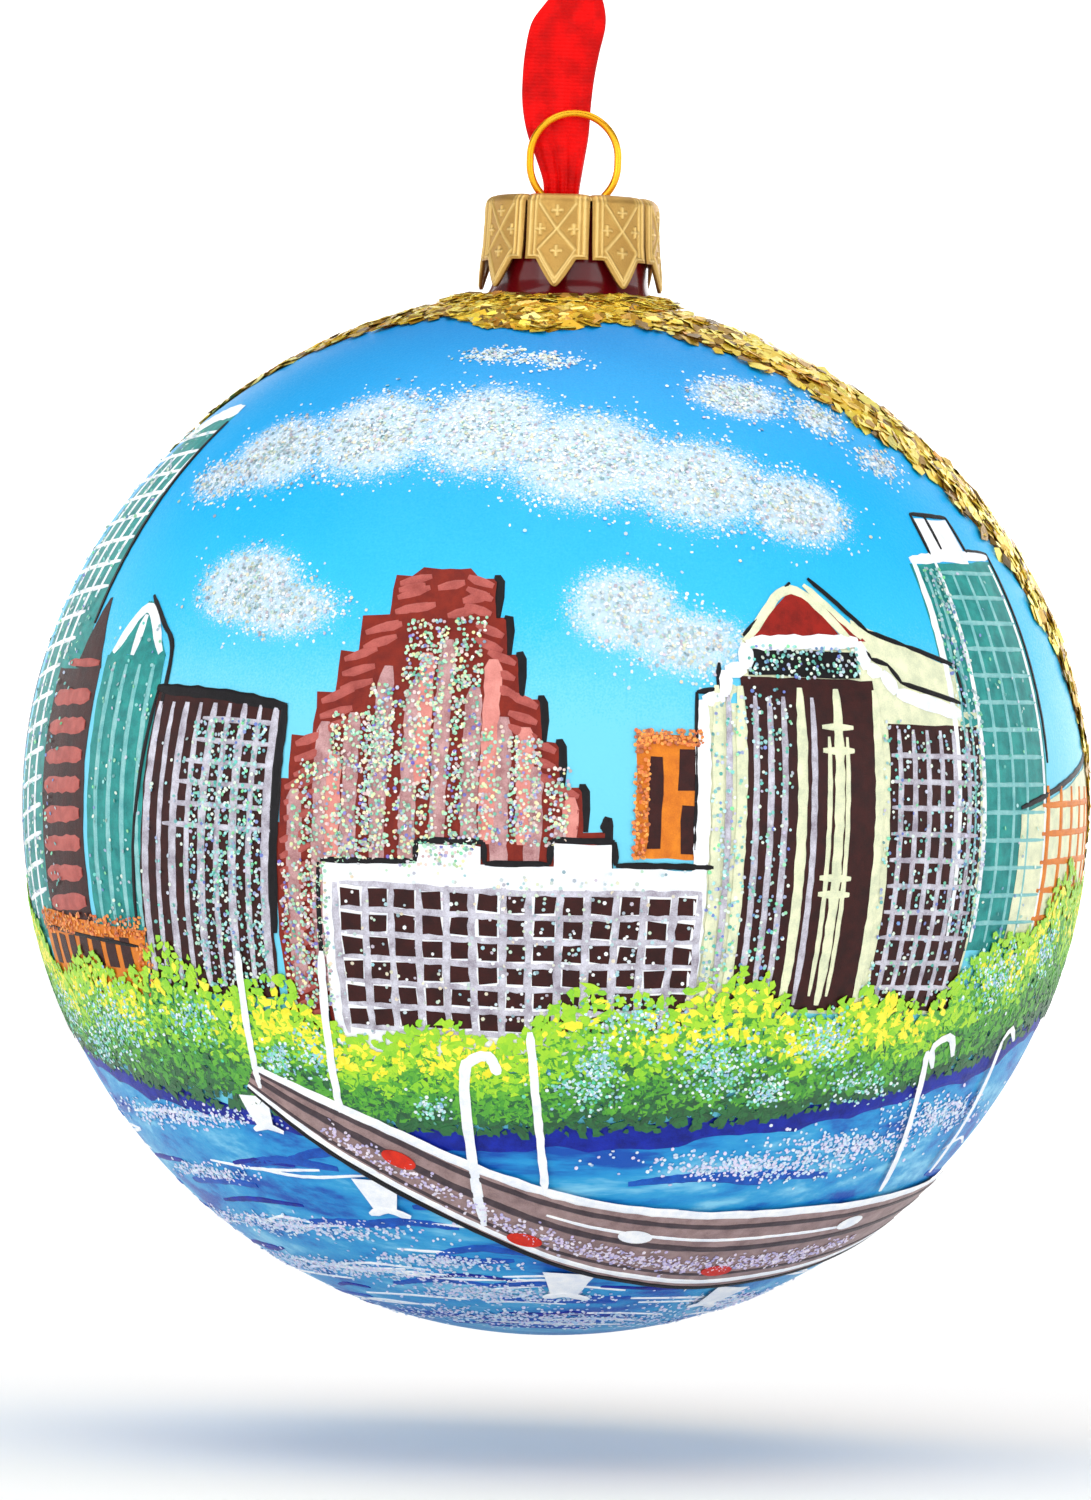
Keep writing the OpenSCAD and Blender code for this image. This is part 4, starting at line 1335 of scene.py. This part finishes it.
def make_border():
    """The crust of gold flakes: a rough ground of gold dust with broken leaf lying over it."""
    dust = Shader("gold_dust", Metallic=0.7, Roughness=0.45)
    grain = dust.noise(1300, 4.0, 0.7)
    # The colour follows the same noise as the bump. It varies at random over the dust, and it is also painted
    # dark brown in the bump's low places as painted shade and pale on its high places as painted highlight.
    dust.colour(dust.ramp(grain, (0.35, srgb(70, 42, 12)), (0.55, srgb(170, 120, 40)),
                          (0.7, srgb(220, 180, 90))))
    dust.bump(grain, 0.0004)
    points, faces = coat_shell(EDGE_OFFSET + 0.2, EDGE_OFFSET + FLAKE_W - 1.2, 14, 320, 0.16, wobble=0.003)
    weld(piece("gold_dust_ground", points, faces, dust.material, "ball", ["flake_border"], "gold_flakes"))
    count = 5200
    around = rng.uniform(0, 2 * np.pi, count)
    share = rng.beta(1.5, 1.4, count)
    distance = EDGE_OFFSET - 1.3 + (FLAKE_W + 1) * share
    away = np.array(edge_angle(around, distance))
    direction = edge_direction(around, away)
    centres = direction * (reach(np.arcsin(direction[:, 2])) + 0.22)[:, None]
    clear = np.hypot(centres[:, 0], centres[:, 1]) > HEAP_R
    leaf = gold()
    flakes("gold_flakes", centres[clear], (0.7, 1.9), leaf, sides=5, thick=0.04, tilt=0.3, stretch=0.4,
           lift=rng.uniform(0, 0.22, (int(clear.sum()), 1)), slot="gold_flakes")
    heap = 1500
    turn = rng.uniform(-75, 55, heap)
    spread = 1.2 + 9 * np.exp(-((turn + 12) / 38) ** 2)
    share = rng.uniform(0, 1, heap)
    lat = np.degrees(np.arccos((HEAP_R + spread * share) / reach(math.radians(72))))
    lift = 0.25 + 0.6 * np.clip(1 - share * spread / 4, 0, 1) * rng.uniform(0, 1, heap)
    flakes("gold_heap", on_ball(turn, lat, lift), (0.9, 2.1), leaf, sides=5, thick=0.04, tilt=0.35,
           stretch=0.4, slot="gold_flakes")


make_dabs()
make_glitter()
make_border()

# ---------------------------------------------------------------- cap

SHEET = 0.3
NECK_GAP = 0.55
SKIRT_R = NECK_R + NECK_GAP + SHEET
FLARE = 0.6
FOOT_R = SKIRT_R + FLARE
RIM_ROUND = 0.9
DISC_DIP = 0.7
DISC_TOP = RIM_TOP - DISC_DIP
SKIRT_H = 6.2
SHOULDER = RIM_TOP - SKIRT_H
TONGUE_H = 2.6
TIP = SHOULDER - TONGUE_H
LEAVES = 8
LEAF_TURN = -10
SLIT = 0.25
TONGUE_W = 4.0
# The pattern starts this far below the rim
LEAF_START = 0.7


def tin():
    """Stamped pale brass with a brushed, slightly dulled face; its colour varies at random and is painted
    lighter on the stamped ridges and darker on the flat between them, as painted highlight and painted shade.
    """
    made = Shader("stamped_brass", Metallic=0.82, Roughness=0.42)
    tone = made.noise(500, 4.0, 0.6)
    fine = made.noise(6000, 2.0)
    # The relief height lightens the colour on the ridges and leaves the flat darker: painted highlight and
    # painted shade.
    relief_shading = made.value("relief")
    tone_and_relief_shading = made.ramp(made.math("MULTIPLY_ADD", tone, 0.3, made.math("MULTIPLY", relief_shading, 0.8)),
                     (0.1, srgb(176, 136, 70)), (0.45, srgb(208, 172, 98)), (0.85, srgb(228, 196, 126)))
    made.colour(tone_and_relief_shading)
    made.rough(made.ramp(fine, (0.3, 0.36), (0.7, 0.55)))
    made.bump(fine, 0.00003)
    return made.material


def skirt_radius(z):
    """Outer radius of the skirt at a height: it flares a little more towards its foot."""
    knee = SHOULDER + 1.4
    top_r, knee_r = SKIRT_R, SKIRT_R + 0.15
    top = RIM_TOP - RIM_ROUND
    return np.where(z > knee, top_r + (knee_r - top_r) * (top - z) / (top - knee),
                    knee_r + (FOOT_R - knee_r) * (knee - z) / (knee - TIP))


def ridge(distance, width):
    return np.exp(-(distance / width) ** 2)


def segment(u, v, start, end):
    """Distance of each place from the line between two places on a leaf."""
    du, dv = end[0] - start[0], end[1] - start[1]
    share = np.clip(((u - start[0]) * du + (v - start[1]) * dv) / (du * du + dv * dv), 0, 1)
    return np.hypot(u - start[0] - share * du, v - start[1] - share * dv)


def leaf_relief(u, v):
    """Stamped pattern of a leaf, from 0 to 1. u is across from the middle, v is down from its top, in mm."""
    half = math.pi * SKIRT_R / LEAVES - SLIT
    foot = RIM_TOP - SHOULDER - LEAF_START
    tip = RIM_TOP - TIP - LEAF_START
    waist, wide = 2.7, 1.75
    across = np.abs(u)
    lines = [(across - half + 0.35, 0.14), (across - half + 0.85, 0.1)]
    relief = np.maximum.reduce([ridge(d, w) * (v < foot - 0.3) for d, w in lines])
    for start, end in (((0, waist), (wide, 0.3)), ((0, waist), (wide, foot - 0.9)),
                       ((wide, foot - 0.9), (0, tip - 0.75)), ((half - 0.3, foot - 0.3), (1.6, foot - 0.3)),
                       ((1.6, foot - 0.3), (0, tip - 0.3))):
        relief = np.maximum(relief, ridge(segment(across, v, start, end), 0.13))
    for at_u, at_v in ((0, 0.95), (0, foot - 0.75), (wide - 0.15, waist)):
        du, dv = np.abs(across - at_u), np.abs(v - at_v)
        petal = np.maximum(ridge(du, 0.14) * (dv < 0.55), ridge(dv, 0.14) * (du < 0.55))
        relief = np.maximum(relief, 0.9 * petal)
    return relief


def leaf_parts(turn):
    """Points, faces and relief of one leaf, a closed sheet that rolls over the rim and down the skirt."""
    columns, rows, roll = 61, 97, 12
    half = math.pi * SKIRT_R / LEAVES
    across = np.linspace(-1, 1, columns)[None]
    rim_z = RIM_TOP - RIM_ROUND
    over = np.clip(np.abs(across) * half / (TONGUE_W / 2), 0, 1)
    blunt = 0.22
    point = 1 - (np.hypot(over, blunt) - blunt) / (math.hypot(1, blunt) - blunt)
    foot = SHOULDER - (SHOULDER - TIP) * point
    share = np.linspace(0, 1, rows)[:, None]
    z = rim_z + (foot - rim_z) * share
    slit = SLIT * (0.5 + 0.35 * share)
    u = across * (half - slit)
    height = leaf_relief(u, rim_z + 0.2 - z)
    bend = np.radians(np.linspace(78, 0, roll, endpoint=False))[:, None]
    bend_slit = SLIT * (0.5 - 0.42 * bend / bend.max())
    bend_u = across * (half - bend_slit)
    u = np.concatenate([bend_u, u])
    angle = math.radians(turn) + u / SKIRT_R
    height = np.concatenate([np.repeat(height[:1], roll, 0) * np.cos(bend), height])
    scallop = 0.12 * (1 - across ** 8)
    grids = []
    for depth in (0.0, SHEET):
        round_r = RIM_ROUND - depth
        arc_r = SKIRT_R - RIM_ROUND + round_r * np.cos(bend) + 0 * across
        arc_z = rim_z + round_r * np.sin(bend) - 0.12 * np.sin(bend) + scallop * np.sin(bend)
        r = np.concatenate([arc_r, skirt_radius(z) - depth + 0 * across]) + 0.15 * height - 0.06
        up = np.concatenate([arc_z, z + 0 * across])
        grids.append(np.stack([r * np.sin(angle), -r * np.cos(angle), up], -1).reshape(-1, 3))
    rows += roll
    count = rows * columns
    faces = grid_faces(rows, columns)[:, ::-1].tolist() + grid_faces(rows, columns, count).tolist()
    faces += [[a, b, count + b, count + a] for a, b in grid_border(rows, columns)]
    return np.concatenate(grids), faces, np.concatenate([height.ravel(), 0.6 * height.ravel()])


def make_cap():
    material = tin()
    parts = [leaf_parts(LEAF_TURN + k * 360 / LEAVES) for k in range(LEAVES)]
    points, faces = joined([(p, f) for p, f, _ in parts])
    leaves = piece("cap_leaves", points, faces, material, "cap", slot="cap_tin")
    # The relief height goes to the shader, which paints the ridges lighter and the flat darker as painted
    # highlight and painted shade.
    store(leaves, "relief", np.concatenate([h for _, _, h in parts]))

    rim_z = RIM_TOP - RIM_ROUND
    rolled = RIM_ROUND - 0.16
    arc = [(SKIRT_R - RIM_ROUND + rolled * math.cos(a), rim_z + rolled * math.sin(a))
           for a in np.radians(np.linspace(150, 20, 22))]
    inner = [(SKIRT_R - RIM_ROUND + (rolled - SHEET) * math.cos(a), rim_z + (rolled - SHEET) * math.sin(a))
             for a in np.radians(np.linspace(20, 150, 22))]
    disc_r = SKIRT_R - 2 * RIM_ROUND - 0.1
    top = [(r, DISC_TOP + 0.06 * math.cos(r * 2.2)) for r in np.linspace(0.001, disc_r - 0.3, 16)]
    below = [(r, z - SHEET) for r, z in top[::-1]]
    points, faces = revolve(top + arc + inner + below, 96)
    disc = weld(piece("cap_rim_and_disc", points, faces, material, "cap", ["cap"], "cap_tin"), 3e-6)
    # The disc takes one middle tone of that painted shade and highlight.
    store(disc, "relief", np.full(len(disc.data.vertices), 0.55))


make_cap()

# ---------------------------------------------------------------- hanger wire

WIRE_R = 0.35
RING_R = 4.14
RING_SIDE = 0.7
RING_DIP = math.radians(42)
BEND_R = 1.2
RING_MID = RING_TOP - WIRE_R - RING_R
SPRING_BEND = 2.0
SPRING_LEN = 7.5
# Room between the ring's foot and the cap, the ring's travel, and the legs' room in the neck
RING_ROOM = 0.34
TRAVEL = 3
LEG_ROOM = 0.2
TOE_TURN = math.radians(18)
TOE_LEN = 1.5


def half_wire():
    """One side of the hanger in the XZ plane, from the ring's top down to the toe of its spring leg."""
    line = [(RING_R * math.sin(a), RING_MID + RING_R * math.cos(a)) for a in np.linspace(0, np.pi / 2, 40)]
    heading = math.pi
    x, z = RING_R, RING_MID

    def run(length=0.0, radius=0.0, angle=0.0):
        """Extends the line by a straight, or by an arc that turns towards the axis for a positive angle."""
        nonlocal x, z, heading
        count = max(2, int(abs(angle) / 0.08) + 1)
        for _ in range(count):
            heading += angle / count / 2
            step = length / count if length else abs(radius * angle) / count
            x, z = x + step * math.sin(heading), z + step * math.cos(heading)
            heading += angle / count / 2
            line.append((x, z))

    leg_x = RING_R * math.cos(RING_DIP) - BEND_R * (1 - math.cos(RING_DIP))
    out = NECK_R - GLASS_T - LEG_ROOM - WIRE_R - leg_x
    spring = math.atan2(2 * SPRING_BEND, SPRING_LEN)
    spring += math.asin((out - 2 * SPRING_BEND) / math.hypot(SPRING_LEN, 2 * SPRING_BEND))
    run(length=RING_SIDE)
    run(radius=RING_R, angle=RING_DIP)
    run(radius=BEND_R, angle=-RING_DIP)
    run(length=RING_ROOM + SHEET + TRAVEL + LEG_ROOM)
    run(radius=SPRING_BEND, angle=-spring)
    run(length=SPRING_LEN)
    run(radius=SPRING_BEND, angle=spring + TOE_TURN)
    run(length=TOE_LEN)
    return line


def brass_wire():
    """Drawn brass wire, bright, with faint lengthwise drawing marks."""
    made = Shader("brass_wire", Metallic=0.9, Roughness=0.26)
    mark = made.noise(2500, 3.0)
    made.colour(made.ramp(made.noise(160, 2.0), (0.3, srgb(226, 150, 18)), (0.7, srgb(240, 178, 40))))
    made.rough(made.ramp(mark, (0.3, 0.2), (0.7, 0.34)))
    made.bump(mark, 0.000003)
    return made.material


def make_wire():
    right = half_wire()
    left = [(-x, z) for x, z in right[:0:-1]]
    path = [[x, 0, z] for x, z in left + right]
    points, faces = tube(path, WIRE_R, 20)
    weld(piece("ring_wire", points, faces, brass_wire(), "hanger", ["hanger_wire"], "hanger_brass"))


make_wire()
